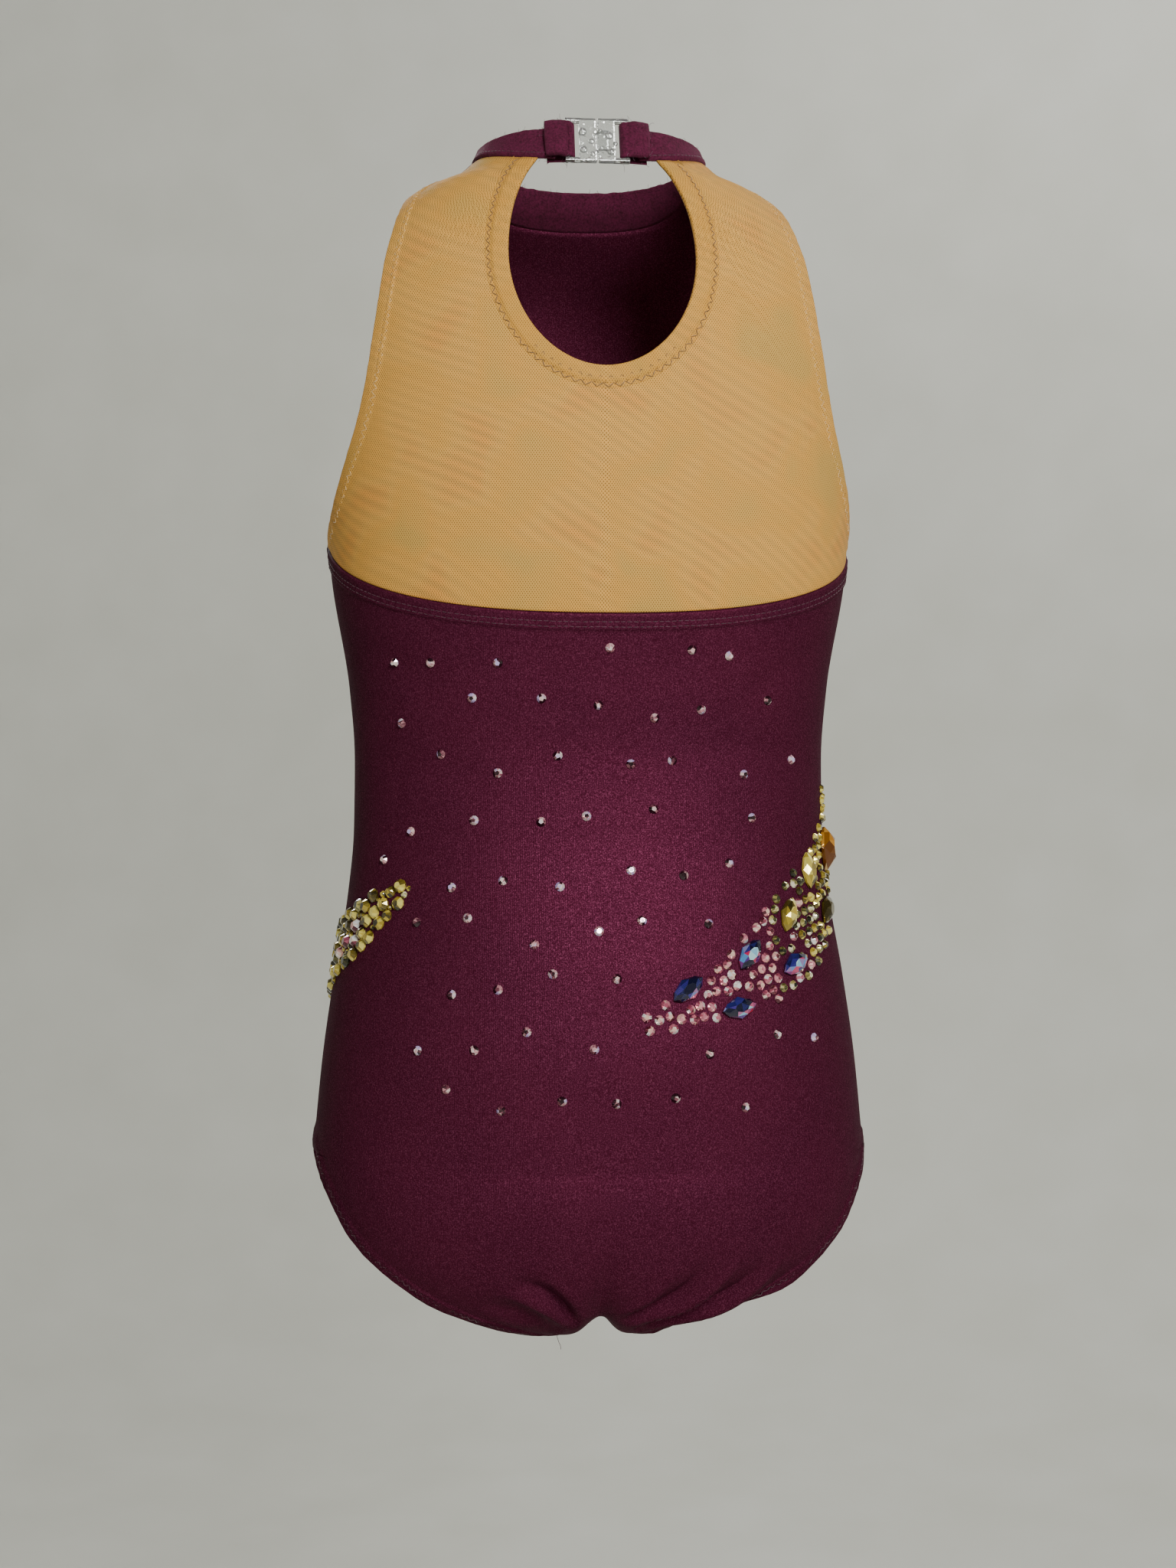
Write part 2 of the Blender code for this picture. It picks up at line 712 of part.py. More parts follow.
def faceted_stone(stone, turn, level, lean):
    """A flat-backed stone with eight sides, narrowed to its ends, and a small table on top."""
    cut = stone.cut
    girdle = STONE_GIRDLE
    crown = 1.0 - girdle
    sheet = bmesh.new()
    bmesh.ops.create_cone(
        sheet, cap_ends=True, segments=STONE_SIDES, radius1=0.5, radius2=0.5 * STONE_TABLE, depth=crown,
        matrix=Matrix.Translation((0.0, 0.0, girdle + crown / 2)),
    )
    foot = [face for face in sheet.faces if face.calc_center_median().z < girdle + 0.01]
    foot_edge = bmesh.ops.extrude_face_region(sheet, geom=foot)["geom"]
    moved = [item for item in foot_edge if isinstance(item, bmesh.types.BMVert)]
    bmesh.ops.translate(sheet, vec=(0.0, 0.0, -girdle), verts=moved)
    bmesh.ops.delete(sheet, geom=foot, context="FACES_ONLY")
    for vertex in sheet.verts:
        taper = 1.0 - STONE_TAPER * (2 * abs(vertex.co.y)) ** 2
        vertex.co.x *= taper
    bmesh.ops.scale(sheet, vec=(cut.width * MM, cut.length * MM, cut.height * MM), verts=sheet.verts)
    bmesh.ops.recalc_face_normals(sheet, faces=sheet.faces)
    mesh = bpy.data.meshes.new(stone.name)
    sheet.to_mesh(mesh)
    sheet.free()
    piece = add_object(stone.name, mesh, plain_material(f"{stone.name}_glass", stone.colour, 0.05))
    piece.data.shade_flat()
    out = outward(turn, level)
    lift = LYCRA + STONE_GAP + cut.width ** 2 / 8 / STONE_SEAT_RADIUS
    up = (Vector((0.0, 0.0, 1.0)) - out * out.z).normalized()
    up = Matrix.Rotation(math.radians(lean), 4, out) @ up
    axes = Matrix((up.cross(out), up, out)).transposed().to_4x4()
    piece.matrix_world = Matrix.Translation((form_point(turn, level) + out * lift) * MM) @ axes
    return piece


def stone_trail():
    """Sets the large stones turn about along their curve, the first one on it."""
    start, bend, end = Vector(TRAIL_START), Vector(TRAIL_BEND), Vector(TRAIL_END)
    for i, stone in enumerate(STONES):
        s = i / (len(STONES) - 1)
        place = start * (1 - s) ** 2 + bend * 2 * s * (1 - s) + end * s * s
        run = ((bend - start) * (1 - s) + (end - bend) * s).normalized()
        hand = 0 if i == 0 else (-1) ** i
        place += Vector((-run.y, run.x)) * hand * TRAIL_SWING
        lean = math.degrees(math.atan2(-run.x, -run.y)) + hand * TRAIL_LEAN
        faceted_stone(stone, turn_at(place.x, place.y), place.y, -lean)


def main():
    for thing in list(bpy.data.objects):
        bpy.data.objects.remove(thing)
    for name in ("gymnastics_leotard", "leotard_cutters"):
        bpy.context.scene.collection.children.link(bpy.data.collections.new(name))
    lycra = (0.105, 0.009, 0.038)
    mesh_colour = (0.58, 0.36, 0.14)
    back_panel(plain_material("back_lycra", lycra, 0.4))
    front_panel(plain_material("front_lycra", lycra, 0.4))
    back_yoke(plain_material("yoke_power_mesh", mesh_colour, 0.7))
    keyhole_binding(plain_material("binding_power_mesh", mesh_colour, 0.7))
    collar_band(plain_material("collar_lycra", lycra, 0.6))
    collar_loop("collar_loop_left", -1, plain_material("left_loop_lycra", lycra, 0.7))
    collar_loop("collar_loop_right", 1, plain_material("right_loop_lycra", lycra, 0.7))
    frame = clasp_frame()
    clear = (0.9, 0.92, 0.92)
    clasp_half("clasp_hook", -1, plain_material("hook_clear_plastic", clear, 0.08, 0.4), frame)
    clasp_half("clasp_eye", 1, plain_material("eye_clear_plastic", clear, 0.08, 0.4), frame)
    stone_trail()


main()
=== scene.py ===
"""The leotard dressed for its picture: fine cloth, hems, stitching, net, cut stones, light and camera.

The cloth lies on the same form as the solids. Sizes are in millimetres until a mesh is made, the
back faces -Y, and the origin is the centre of the neck.
"""

import bisect
import math
import random
from collections import namedtuple

import bpy
from mathutils import Matrix, Vector, noise
from mathutils.bvhtree import BVHTree
from mathutils.kdtree import KDTree


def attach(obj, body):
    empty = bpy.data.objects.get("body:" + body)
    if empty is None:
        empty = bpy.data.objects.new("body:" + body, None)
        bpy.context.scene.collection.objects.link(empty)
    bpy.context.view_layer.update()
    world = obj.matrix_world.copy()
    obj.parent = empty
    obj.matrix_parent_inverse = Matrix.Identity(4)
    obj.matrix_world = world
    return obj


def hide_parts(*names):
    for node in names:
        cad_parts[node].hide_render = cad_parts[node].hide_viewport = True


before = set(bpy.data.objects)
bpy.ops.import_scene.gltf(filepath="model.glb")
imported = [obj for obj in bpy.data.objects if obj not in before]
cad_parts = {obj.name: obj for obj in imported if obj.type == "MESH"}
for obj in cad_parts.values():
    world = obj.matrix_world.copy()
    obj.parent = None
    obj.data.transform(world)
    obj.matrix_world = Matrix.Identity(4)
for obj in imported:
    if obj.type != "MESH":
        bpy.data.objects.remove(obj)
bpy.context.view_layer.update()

MM = 0.001


def table(kind, *rows):
    return tuple(kind(*row) for row in rows)


# The form, measured to the inside of the cloth
HINGE = -418.0
HIP_HALF_WIDTH = 119.8
SQUARENESS = 2.4
QUARTER = 90.0
Ring = namedtuple("Ring", "level half_width back front")
RINGS = table(
    Ring,
    (21.0, 46.5, 40.0, 36.0),
    (15.0, 48.0, 42.3, 38.5),
    (10.0, 50.5, 44.2, 41.0),
    (2.0, 59.0, 47.3, 45.0),
    (-4.0, 73.0, 51.5, 49.0),
    (-14.0, 87.0, 57.5, 54.0),
    (-24.0, 96.0, 63.0, 58.0),
    (-40.0, 105.0, 70.0, 63.0),
    (-60.0, 110.0, 76.0, 67.0),
    (-90.0, 113.5, 81.0, 70.5),
    (-130.0, 114.2, 82.5, 71.5),
    (-168.0, 112.0, 81.0, 70.5),
    (-219.0, 104.0, 72.5, 66.0),
    (-250.0, 101.8, 69.0, 65.0),
    (-280.0, 102.2, 71.0, 67.0),
    (-310.0, 105.0, 78.0, 70.5),
    (-342.0, 110.5, 84.5, 72.0),
    (-380.0, 116.0, 88.5, 71.0),
    (HINGE, HIP_HALF_WIDTH, 88.0, 69.0),
)
Fan = namedtuple("Fan", "angle reach half_width")
SEAT_FANS = table(
    Fan,
    (0.0, 88.0, HIP_HALF_WIDTH),
    (17.0, 91.5, 116.0),
    (28.0, 93.0, 109.0),
    (34.0, 93.5, 104.0),
    (38.0, 93.5, 96.0),
    (42.0, 93.5, 83.0),
    (46.0, 93.0, 69.0),
    (49.0, 92.0, 54.0),
    (53.0, 90.5, 41.0),
    (58.0, 88.0, 30.0),
    (66.0, 84.0, 21.0),
    (78.0, 80.0, 17.5),
    (QUARTER, 78.5, 17.0),
)
LAP_FANS = table(
    Fan,
    (0.0, 69.0, HIP_HALF_WIDTH),
    (12.0, 71.0, 108.0),
    (24.0, 73.0, 91.0),
    (36.0, 75.0, 70.0),
    (48.0, 76.5, 50.0),
    (60.0, 77.5, 34.0),
    (74.0, 78.0, 22.0),
    (QUARTER, 78.5, 17.0),
)
ARCH_HEIGHT = 18.0
ARCH_HALF_WIDTH = 6.5
ARCH_RUN = 42.0

# Creases, each a shallow bow from one place to another as seen from behind or from in front
Crease = namedtuple("Crease", "x z end_x end_z bow width depth")
SEAT_CREASES = table(
    Crease,
    (9.0, -482.0, 43.0, -453.0, -5.0, 4.4, 3.2),
    (16.0, -487.0, 66.0, -455.0, -7.0, 5.0, 3.8),
    (24.0, -491.0, 82.0, -458.0, -8.0, 4.0, 2.4),
    (-11.0, -483.0, -38.0, -461.0, -4.0, 4.4, 2.8),
    (-18.0, -488.0, -52.0, -473.0, -3.0, 4.2, 2.4),
    (-2.0, -480.0, 5.0, -448.0, 1.5, 5.0, 2.6),
)
SEAT_RIDGES = table(
    Crease,
    (12.0, -484.0, 56.0, -454.0, -6.0, 1.8, -3.1),
    (20.0, -489.0, 76.0, -456.0, -7.5, 1.7, -2.8),
    (28.0, -493.0, 88.0, -462.0, -7.0, 1.6, -1.9),
    (6.0, -479.0, 30.0, -452.0, -4.0, 1.7, -2.1),
    (-14.0, -485.0, -45.0, -467.0, -3.5, 1.7, -2.3),
    (-8.0, -481.0, -28.0, -458.0, -3.0, 1.6, -1.6),
)
SEAT_FOLDS = table(
    Crease,
    (9.0, -481.5, 44.0, -453.0, -5.0, 2.2, 1.6),
    (16.0, -486.5, 68.0, -455.0, -6.8, 2.2, 2.0),
    (24.0, -491.0, 84.0, -459.0, -7.2, 2.0, 1.8),
    (-11.0, -483.0, -38.0, -461.0, -3.4, 2.0, 1.6),
)
BACK_SWAGS = table(
    Crease,
    (-100.0, -205.0, -58.0, -232.0, 4.0, 6.0, 0.8),
    (100.0, -203.0, 52.0, -236.0, -5.0, 6.0, 0.9),
    (-98.0, -250.0, -40.0, -262.0, 4.0, 8.0, 0.9),
    (97.0, -256.0, 30.0, -246.0, -5.0, 8.0, 0.8),
    (-30.0, -196.0, -22.0, -236.0, 2.0, 6.0, 0.5),
    (34.0, -197.0, 27.0, -240.0, -2.0, 6.0, 0.5),
)
FRONT_SWAGS = table(
    Crease,
    (7.0, -470.0, 44.0, -438.0, -5.0, 4.6, 1.6),
    (-8.0, -471.0, -52.0, -436.0, 5.0, 4.8, 1.8),
    (15.0, -478.0, 70.0, -446.0, -6.0, 4.4, 1.3),
    (-96.0, -252.0, -34.0, -264.0, 5.0, 8.0, 0.9),
    (98.0, -247.0, 40.0, -262.0, -5.0, 8.0, 0.9),
    (-92.0, -136.0, -50.0, -168.0, 5.0, 6.0, 1.0),
    (92.0, -138.0, 48.0, -166.0, -5.0, 6.0, 1.0),
    (-60.0, -22.0, -74.0, -76.0, 4.0, 5.0, 0.8),
    (58.0, -24.0, 72.0, -80.0, -4.0, 5.0, 0.8),
)
CREASE_FADE = 14.0

# Cloth
LYCRA = 1.2
LYCRA_HEM = 2.0
MESH_CLOTH = 1.0
MESH_HEM = 1.5
BINDING = 1.8
COLLAR = 1.8
LOOP_CLOTH = 1.2
HEM_WIDTH = 7.0
HEM_SLOPE = 1.0
HEM_STITCHES = (3.4, 5.6)
STITCH_SINK = 0.22
STITCH_SPREAD = 0.55
GATHER_ALONG = 3.2
GATHER_ACROSS = 9.0
ROUND_OFF = 0.8  # width over which a cut edge rounds down
LEG_STITCHES = 4.6
YOKE_STITCHES = 6.4
BINDING_STITCHES = 8.2
BINDING_FOOT_STITCHES = 5.6
COLLAR_STITCHES = 1.8
YOKE_GROOVE = (5.4,)
LYCRA_GATHER = 0.35
YOKE_GATHER = 0.25
BINDING_GATHER = 0.3
STITCH_HALF_SWING = 1.0
STITCH_OVERLAP = 1.08
STITCH_RISE = 0.35
STRAIGHT_STITCH = 0.78  # the share of a straight stitch's pitch that shows thread
FLAT_INSIDE = 5.0  # how far in from an edge the cloth is flat again
COLLAR_WAVE = 0.35
LOOP_PUCKER = 0.5
LOOP_FRAY = {"top": 13, "bottom": 9, "left": 4, "right": 4}
COLLAR_FRAY = {"top": (1.0, 60), "bottom": (-1.0, 34)}
LOOSE_ENDS = ((-31.0, HINGE - 58.0, 7.0), (87.0, HINGE - 4.0, 6.0), (-84.0, HINGE - 12.0, 4.0))

# Seam and edge lines
SIDE = 90.0
BACK_EDGE = SIDE - 0.001
FRONT_EDGE = SIDE + 0.001
SHOULDER_SEAM = 76.0
NECK_BACK = 2.0
NECK_SIDE = 10.0
NECK_FRONT = -5.0
COLLAR_TOP_BACK = 17.3
COLLAR_TOP_SIDE = 15.2
COLLAR_TOP_FRONT = 11.0
COLLAR_END_X = 15.6
BACK_TOP_CENTRE = -190.0
UNDERARM = -156.0
ArmholePoint = namedtuple("ArmholePoint", "level back_turn front_turn")
ARMHOLE = table(
    ArmholePoint,
    (-4.0, SHOULDER_SEAM, SHOULDER_SEAM),
    (-10.0, 71.0, 103.0),
    (-20.0, 61.0, 116.5),
    (-36.0, 55.0, 122.0),
    (-56.0, 53.3, 124.5),
    (-80.0, 54.0, 124.0),
    (-104.0, 57.7, 120.5),
    (-127.0, 66.0, 112.5),
    (-145.0, 77.0, 101.5),
    (UNDERARM, SIDE, SIDE),
)
KEYHOLE_HALF_WIDTH = 38.6
KEYHOLE_WIDEST = -42.0
KEYHOLE_BELOW = 48.0
KEYHOLE_ABOVE = 59.0
BINDING_WIDTH = 9.5
YOKE_ROW_BOW = 0.65

# Clasp
CLASP_BAR_X = 12.4
CLASP_BAR_RADIUS = 0.9
CLASP_LIFT = 0.9
CLASP_NODES = ("clasp_hook", "clasp_eye")
Boss = namedtuple("Boss", "x z radius")
CLASP_BOSSES = table(
    Boss,
    (-6.2, 14.8, 1.8),
    (-6.0, 6.4, 1.6),
    (-2.6, 10.4, 1.3),
    (-2.2, 4.4, 1.1),
    (1.2, 15.4, 1.1),
    (1.6, 7.0, 1.3),
    (5.0, 13.2, 1.7),
    (5.6, 5.6, 1.6),
    (7.6, 9.6, 1.0),
    (-8.6, 10.4, 1.1),
)
BOSS_RISE = 0.6
LOOP_EASE = 0.3
LOOP_BULGE = 1.7
LOOP_END_X = 21.5
LOOP_BOTTOM = 2.4
LOOP_TOP = 19.0

# Large stones
STONE_GAP = 0.3
TRAIL_START = (99.0, -289.0)
TRAIL_BEND = (92.0, -330.0)
TRAIL_END = (36.0, -351.0)
TRAIL_SWING = 8.0
STONE_SEAT_RADIUS = 60.0
TRAIL_LEAN = 16.0
LEAF_CROWN = ((0.25, 1.0), (0.4, 0.78), (0.35, 0.42))
LEAF_TAPER = 0.45
Cut = namedtuple("Cut", "length width height")
DROP = Cut(19.0, 10.5, 5.5)
LEAF = Cut(15.5, 9.2, 3.4)
TRAIL = (
    ("drop_stone", DROP, "amber"),
    ("leaf_stone_gold_1", LEAF, "gold"),
    ("leaf_stone_gold_2", LEAF, "gold"),
    ("leaf_stone_gold_3", LEAF, "gold"),
    ("leaf_stone_navy_1", LEAF, "navy"),
    ("leaf_stone_navy_2", LEAF, "navy"),
    ("leaf_stone_navy_3", LEAF, "navy"),
    ("leaf_stone_navy_4", LEAF, "navy"),
)

# Small stones
SUNK = 0.12
CROWN = ((0.3, 1.0), (0.7, 0.52))
PACKED = 0.95  # stones may overlap a little, as shares of their widths
TOUCHING = 0.97
ROUND_STONE = 4.1
ROUND_PITCH = 4.9
ROUND_UNEVEN = 0.35
ROW_STEP = 0.92  # rows of small stones, as a share of the pitch in a row
SPRAY_REACH = (-0.3, 1.16)  # how far the small stones run past both ends of the large ones
SPRAY_TAIL = 2.2
SPRAY_FULL = 15.0
GOLD_END = 0.42  # share of the spray where gold gives way to olive
OLIVE_END = 0.56
COLOURS_MINGLE = 0.14
PATCH_TURNS = (-46.0, -138.0)
PATCH_TOP = -303.0
PATCH_DROP = 50.0
PATCH_TAIL = 1.0
PATCH_FULL = 13.0
PATCH_SIZES = (2.4, 6.0)
PATCH_TRIES = 6000
SINGLE_STONE = 4.0
SINGLE_CLEARANCE = 6.5
Field = namedtuple("Field", "x_limit low high step")
BACK_FIELD = Field(90.0, -385.0, -207.0, 22.5)
FRONT_FIELD = Field(84.0, -384.0, -30.0, 27.0)
SECTORS = 5  # parts of a cut stone painted with one shade of reflected light each

# Grids
FINE_STEPS = 160
OVER_HEM = (0.0, 0.2, 0.5, 0.9, 1.5, 2.2, 2.9, 3.6, 4.4, 5.1, 5.8, 6.4, 7.0, 7.6)
EDGE_STOPS = (*OVER_HEM, 8.4, 9.4, 10.6, 12.0, 13.6, 15.4)
HEM_STOPS = (*OVER_HEM, 8.6, 10.0)
YOKE_INNER_STOPS = (0.0, 0.3, 0.8, 1.5)
BINDING_STOPS = (0.0, 0.2, 0.5, 1.0, 1.8, 2.6, 3.4, 4.2, 5.0, 5.8, 6.6, 7.4, 8.2, 8.8, 9.2, BINDING_WIDTH)
BACK_COLUMNS = 112
BACK_ROWS = 108
SEAT_ROWS = 66
FRONT_COLUMNS = 96
SHOULDER_ROWS = 6
ARMHOLE_ROWS = 52
FRONT_ROWS = 96
LAP_ROWS = 50
YOKE_ROWS = 40
YOKE_HEM_STEPS = 56
YOKE_ARMHOLE_STEPS = 64
YOKE_SHOULDER_STEPS = 8
BINDING_STEPS = 150
BINDING_FOOT_STEPS = 45
COLLAR_ROWS = 16
COLLAR_COLUMNS = 190
LOOP_ROWS = 22
LOOP_FLAT_STEPS = 12
LOOP_TURN_STEPS = 16
BACK_HIP_ROW = len(HEM_STOPS) + BACK_ROWS - 1
UNDERARM_ROW = SHOULDER_ROWS + ARMHOLE_ROWS + len(HEM_STOPS) - 1
FRONT_HIP_ROW = UNDERARM_ROW + len(HEM_STOPS) + FRONT_ROWS - 1
ROW_ENDS = 2  # grid points left free at the ends of a row of stitches
FIBRE_STEPS = 7

# Cut glass, as painted reflections: facet colours along a ramp from dark to bright
GLASS = {
    "olive": ((0.2, "#1C1A0E"), (0.5, "#6A6630"), (0.75, "#C2B66A"), (0.95, "#FFF8D8")),
    "amber": ((0.15, "#6A3A0C"), (0.45, "#C8851E"), (0.7, "#EDBE62"), (0.95, "#FFF4D8")),
    "gold": ((0.15, "#352B0C"), (0.42, "#8E7A26"), (0.66, "#CDB23C"), (0.84, "#F4E474")),
    "navy": (
        (0.3, "#0E1030"), (0.5, "#2A2C7E"), (0.64, "#3E2E8E"),
        (0.74, "#E8203C"), (0.86, "#3AA0E0"), (0.97, "#C8F6FA"),
    ),
    "pink": ((0.15, "#571A2A"), (0.35, "#B85A72"), (0.55, "#EE9CA8"), (0.75, "#FAD2B8"), (0.92, "#FFFFFF")),
    "rose": ((0.3, "#2A0C18"), (0.45, "#7E4454"), (0.6, "#DE9CA4"), (0.8, "#FFEFE6"), (0.95, "#D4BCF4")),
}

# Studio, in metres
FLOOR = -1.1  # clear below the hanging garment
Light = namedtuple("Light", "name place target size power")
LIGHTS = (
    Light("key_softbox", (0.4, -1.8, 0.6), (0.0, 0.0, -0.15), (0.7, 0.7), 46.0),
    Light("far_light", (-0.5, 1.7, 0.8), (0.0, 0.0, -0.2), (0.7, 0.7), 16.0),
    Light("wall_wash", (0.9, 0.9, 1.4), (0.6, 2.5, -0.1), (1.2, 0.5), 29.0),
)
ROOM_LIGHT = 0.08
CAMERA_PLACE = (-0.0828, -0.9464, -0.248)
CAMERA_TILT = 90.0 - 0.78
CAMERA_TURN = -5.0
LENS = 49.1


class Eased:
    """A smooth curve through one column of a table against its first column, with no overshoot."""

    def __init__(self, table, column):
        rows = sorted(table)
        self.at = [row[0] for row in rows]
        self.values = [getattr(row, column) for row in rows]
        rises = [
            (v2 - v1) / (a2 - a1)
            for a1, a2, v1, v2 in zip(self.at, self.at[1:], self.values, self.values[1:])
        ]
        middle = [
            0.0 if r1 * r2 <= 0 else 2 * r1 * r2 / (r1 + r2) for r1, r2 in zip(rises, rises[1:])
        ]
        self.slopes = [rises[0], *middle, rises[-1]]

    def __call__(self, at):
        at = min(max(at, self.at[0]), self.at[-1])
        i = min(bisect.bisect_right(self.at, at), len(self.at) - 1) - 1
        span = self.at[i + 1] - self.at[i]
        t = (at - self.at[i]) / span
        near = (1 + 2 * t) * (1 - t) ** 2 * self.values[i] + t * (1 - t) ** 2 * span * self.slopes[i]
        far = t * t * (3 - 2 * t) * self.values[i + 1] - t * t * (1 - t) * span * self.slopes[i + 1]
        return near + far


ring_half_width = Eased(RINGS, "half_width")
ring_back = Eased(RINGS, "back")
ring_front = Eased(RINGS, "front")
seat_reach = Eased(SEAT_FANS, "reach")
seat_half_width = Eased(SEAT_FANS, "half_width")
lap_reach = Eased(LAP_FANS, "reach")
lap_half_width = Eased(LAP_FANS, "half_width")
armhole_back = Eased(ARMHOLE, "back_turn")
armhole_front = Eased(ARMHOLE, "front_turn")


def between(a, b, share):
    return a + (b - a) * share


def smooth(share):
    share = min(max(share, 0.0), 1.0)
    return share * share * (3 - 2 * share)


def signed_power(value, exponent):
    return math.copysign(abs(value) ** exponent, value)


def crease_depth(x, z, creases):
    """How far a table of creases pushes the cloth in at a place."""
    depth = 0.0
    for crease in creases:
        run_x, run_z = crease.end_x - crease.x, crease.end_z - crease.z
        to_x, to_z = x - crease.x, z - crease.z
        squared = run_x * run_x + run_z * run_z
        share = (to_x * run_x + to_z * run_z) / squared
        if not 0.0 < share < 1.0:
            continue
        off_line = (run_x * to_z - run_z * to_x) / math.sqrt(squared) - 4 * crease.bow * share * (1 - share)
        if abs(off_line) > 3 * crease.width:
            continue
        fade = math.sin(math.pi * share ** 0.7)
        depth += crease.depth * fade * math.exp(-((off_line / crease.width) ** 2))
    return depth


def form_point(turn, level):
    """A point on the inside of the cloth. Below the hinge, a level counts degrees of fan."""
    side, facing = math.sin(math.radians(turn)), math.cos(math.radians(turn))
    at_back = facing > 0
    outwards = -1.0 if at_back else 1.0
    across = signed_power(side, 2 / SQUARENESS)
    if level >= HINGE:
        depth = ring_back(level) if at_back else ring_front(level)
        y = outwards * depth * abs(facing) ** (2 / SQUARENESS)
        return Vector((ring_half_width(level) * across, y, level))
    angle = HINGE - level
    reach_at, half_width_at = (
        (seat_reach, seat_half_width) if at_back else (lap_reach, lap_half_width)
    )
    x = half_width_at(angle) * across
    round_off = (1 - abs(x / HIP_HALF_WIDTH) ** SQUARENESS) ** (1 / SQUARENESS)
    reach = reach_at(angle) * round_off
    run = math.exp(-(((QUARTER - angle) / ARCH_RUN) ** 4))
    reach -= ARCH_HEIGHT * run * math.exp(-((x / ARCH_HALF_WIDTH) ** 2))
    down = math.sin(math.radians(angle))
    if at_back:
        fade = min((QUARTER - angle) / CREASE_FADE, 1.0)
        reach -= fade * crease_depth(x, HINGE - reach * down, SEAT_CREASES + SEAT_RIDGES + SEAT_FOLDS)
    return Vector((x, outwards * reach * math.cos(math.radians(angle)), HINGE - reach * down))


def outward(turn, level):
    """The direction straight out of the cloth."""
    step = 0.2
    round_form = form_point(turn + step, level) - form_point(turn - step, level)
    up_form = form_point(turn, level + step) - form_point(turn, level - step)
    return round_form.cross(up_form).normalized()


def turn_at(x, level):
    """The turn, on the back, of a place that lies x from the centre line."""
    share = min(abs(x) / ring_half_width(level), 1.0)
    return math.copysign(math.degrees(math.asin(share ** (SQUARENESS / 2))), x)


def neck_line(turn, back, side, front):
    end = back if math.cos(math.radians(turn)) > 0 else front
    return between(end, side, math.sin(math.radians(turn)) ** 2)


def neck_seam(turn):
    return neck_line(turn, NECK_BACK, NECK_SIDE, NECK_FRONT)


def collar_top(turn):
    return neck_line(turn, COLLAR_TOP_BACK, COLLAR_TOP_SIDE, COLLAR_TOP_FRONT)


def back_top(turn):
    return between(BACK_TOP_CENTRE, UNDERARM, (turn / SIDE) ** 2)


def keyhole(share, margin):
    """Turn and level on the keyhole's outline, moved out by a margin: 0 is its foot, 1 the collar."""
    above = KEYHOLE_ABOVE + margin
    end = math.acos((KEYHOLE_WIDEST - NECK_BACK) / above)
    angle = end * abs(share)
    height = above if angle > math.pi / 2 else KEYHOLE_BELOW + margin
    x = math.copysign((KEYHOLE_HALF_WIDTH + margin) * math.sin(angle), share)
    level = KEYHOLE_WIDEST - height * math.cos(angle)
    turn = turn_at(x, level)
    if abs(share) == 1:
        level = neck_seam(turn)
    return turn, level


def lengths_along(points):
    total = [0.0]
    for a, b in zip(points, points[1:]):
        total.append(total[-1] + (b - a).length)
    return total


def shares_at(path, stops_for):
    """Shares of a path of (turn, level) at given lengths along it."""
    lengths = lengths_along([form_point(*path(i / FINE_STEPS)) for i in range(FINE_STEPS + 1)])
    shares = []
    for stop in stops_for(lengths[-1]):
        i = min(bisect.bisect_right(lengths, stop), FINE_STEPS) - 1
        share = (i + (stop - lengths[i]) / (lengths[i + 1] - lengths[i])) / FINE_STEPS
        shares.append(min(share, 1.0))
    return shares


def stops(inner, first=(0.0,), last=(0.0,)):
    """Close stops over a hem at either end of a length, and even ones between."""

    def stops_for(length):
        finish = [length - end for end in reversed(last)]
        even = [between(first[-1], finish[0], i / inner) for i in range(1, inner)]
        return [*first, *even, *finish]

    return stops_for


def on_form(grid):
    """The points of the form under a grid of (turn, level)."""
    return [[form_point(*place) for place in row] for row in grid]


def armhole_path(turn_on):
    def path(s):
        level = between(UNDERARM, ARMHOLE[0].level, s)
        return turn_on(level), level

    return path


# Materials

WAVE_PITCH = 0.314  # a wave texture's scale for one band a unit


def linear(colour):
    """An sRGB hex colour as the linear colour that a shader takes."""
    values = [int(colour[i:i + 2], 16) / 255 for i in (1, 3, 5)]
    return (*(v / 12.92 if v <= 0.04045 else ((v + 0.055) / 1.055) ** 2.4 for v in values), 1.0)


def add(tree, kind, values=None, links=None, **settings):
    """Adds a node with its settings, its sockets' values and the links into it."""
    made = tree.nodes.new(kind)
    for name, value in settings.items():
        setattr(made, name, value)
    for socket, value in (values or {}).items():
        made.inputs[socket].default_value = value
    for socket, source in (links or {}).items():
        tree.links.new(source, made.inputs[socket])
    return made


def new_material(name, values):
    material = bpy.data.materials.new(name)
    material.use_nodes = True
    tree = material.node_tree
    shader = tree.nodes["Principled BSDF"]
    for socket, value in values.items():
        shader.inputs[socket].default_value = value
    return material, tree, shader


def colour_steps(tree, factor, steps):
    """Colours picked along a ramp by a factor."""
    ramp = add(tree, "ShaderNodeValToRGB", links={"Fac": factor})
    while len(ramp.color_ramp.elements) < len(steps):
        ramp.color_ramp.elements.new(0.5)
    for element, (at, colour) in zip(ramp.color_ramp.elements, steps):
        element.position = at
        element.color = linear(colour)
    return ramp.outputs["Color"]


def place_on(tree, space):
    """Where a point lies, on the piece as Object or on the flat cloth as UV."""
    node = tree.nodes.get("place") or add(tree, "ShaderNodeTexCoord", name="place")
    return node.outputs[space]


def grain_of(tree, size, **values):
    """Soft noise with grains of a size in millimetres."""
    sockets = {"Scale": 1.0 / (size * MM), **values}
    made = add(tree, "ShaderNodeTexNoise", sockets, {"Vector": place_on(tree, "Object")})
    return made.outputs["Fac"]


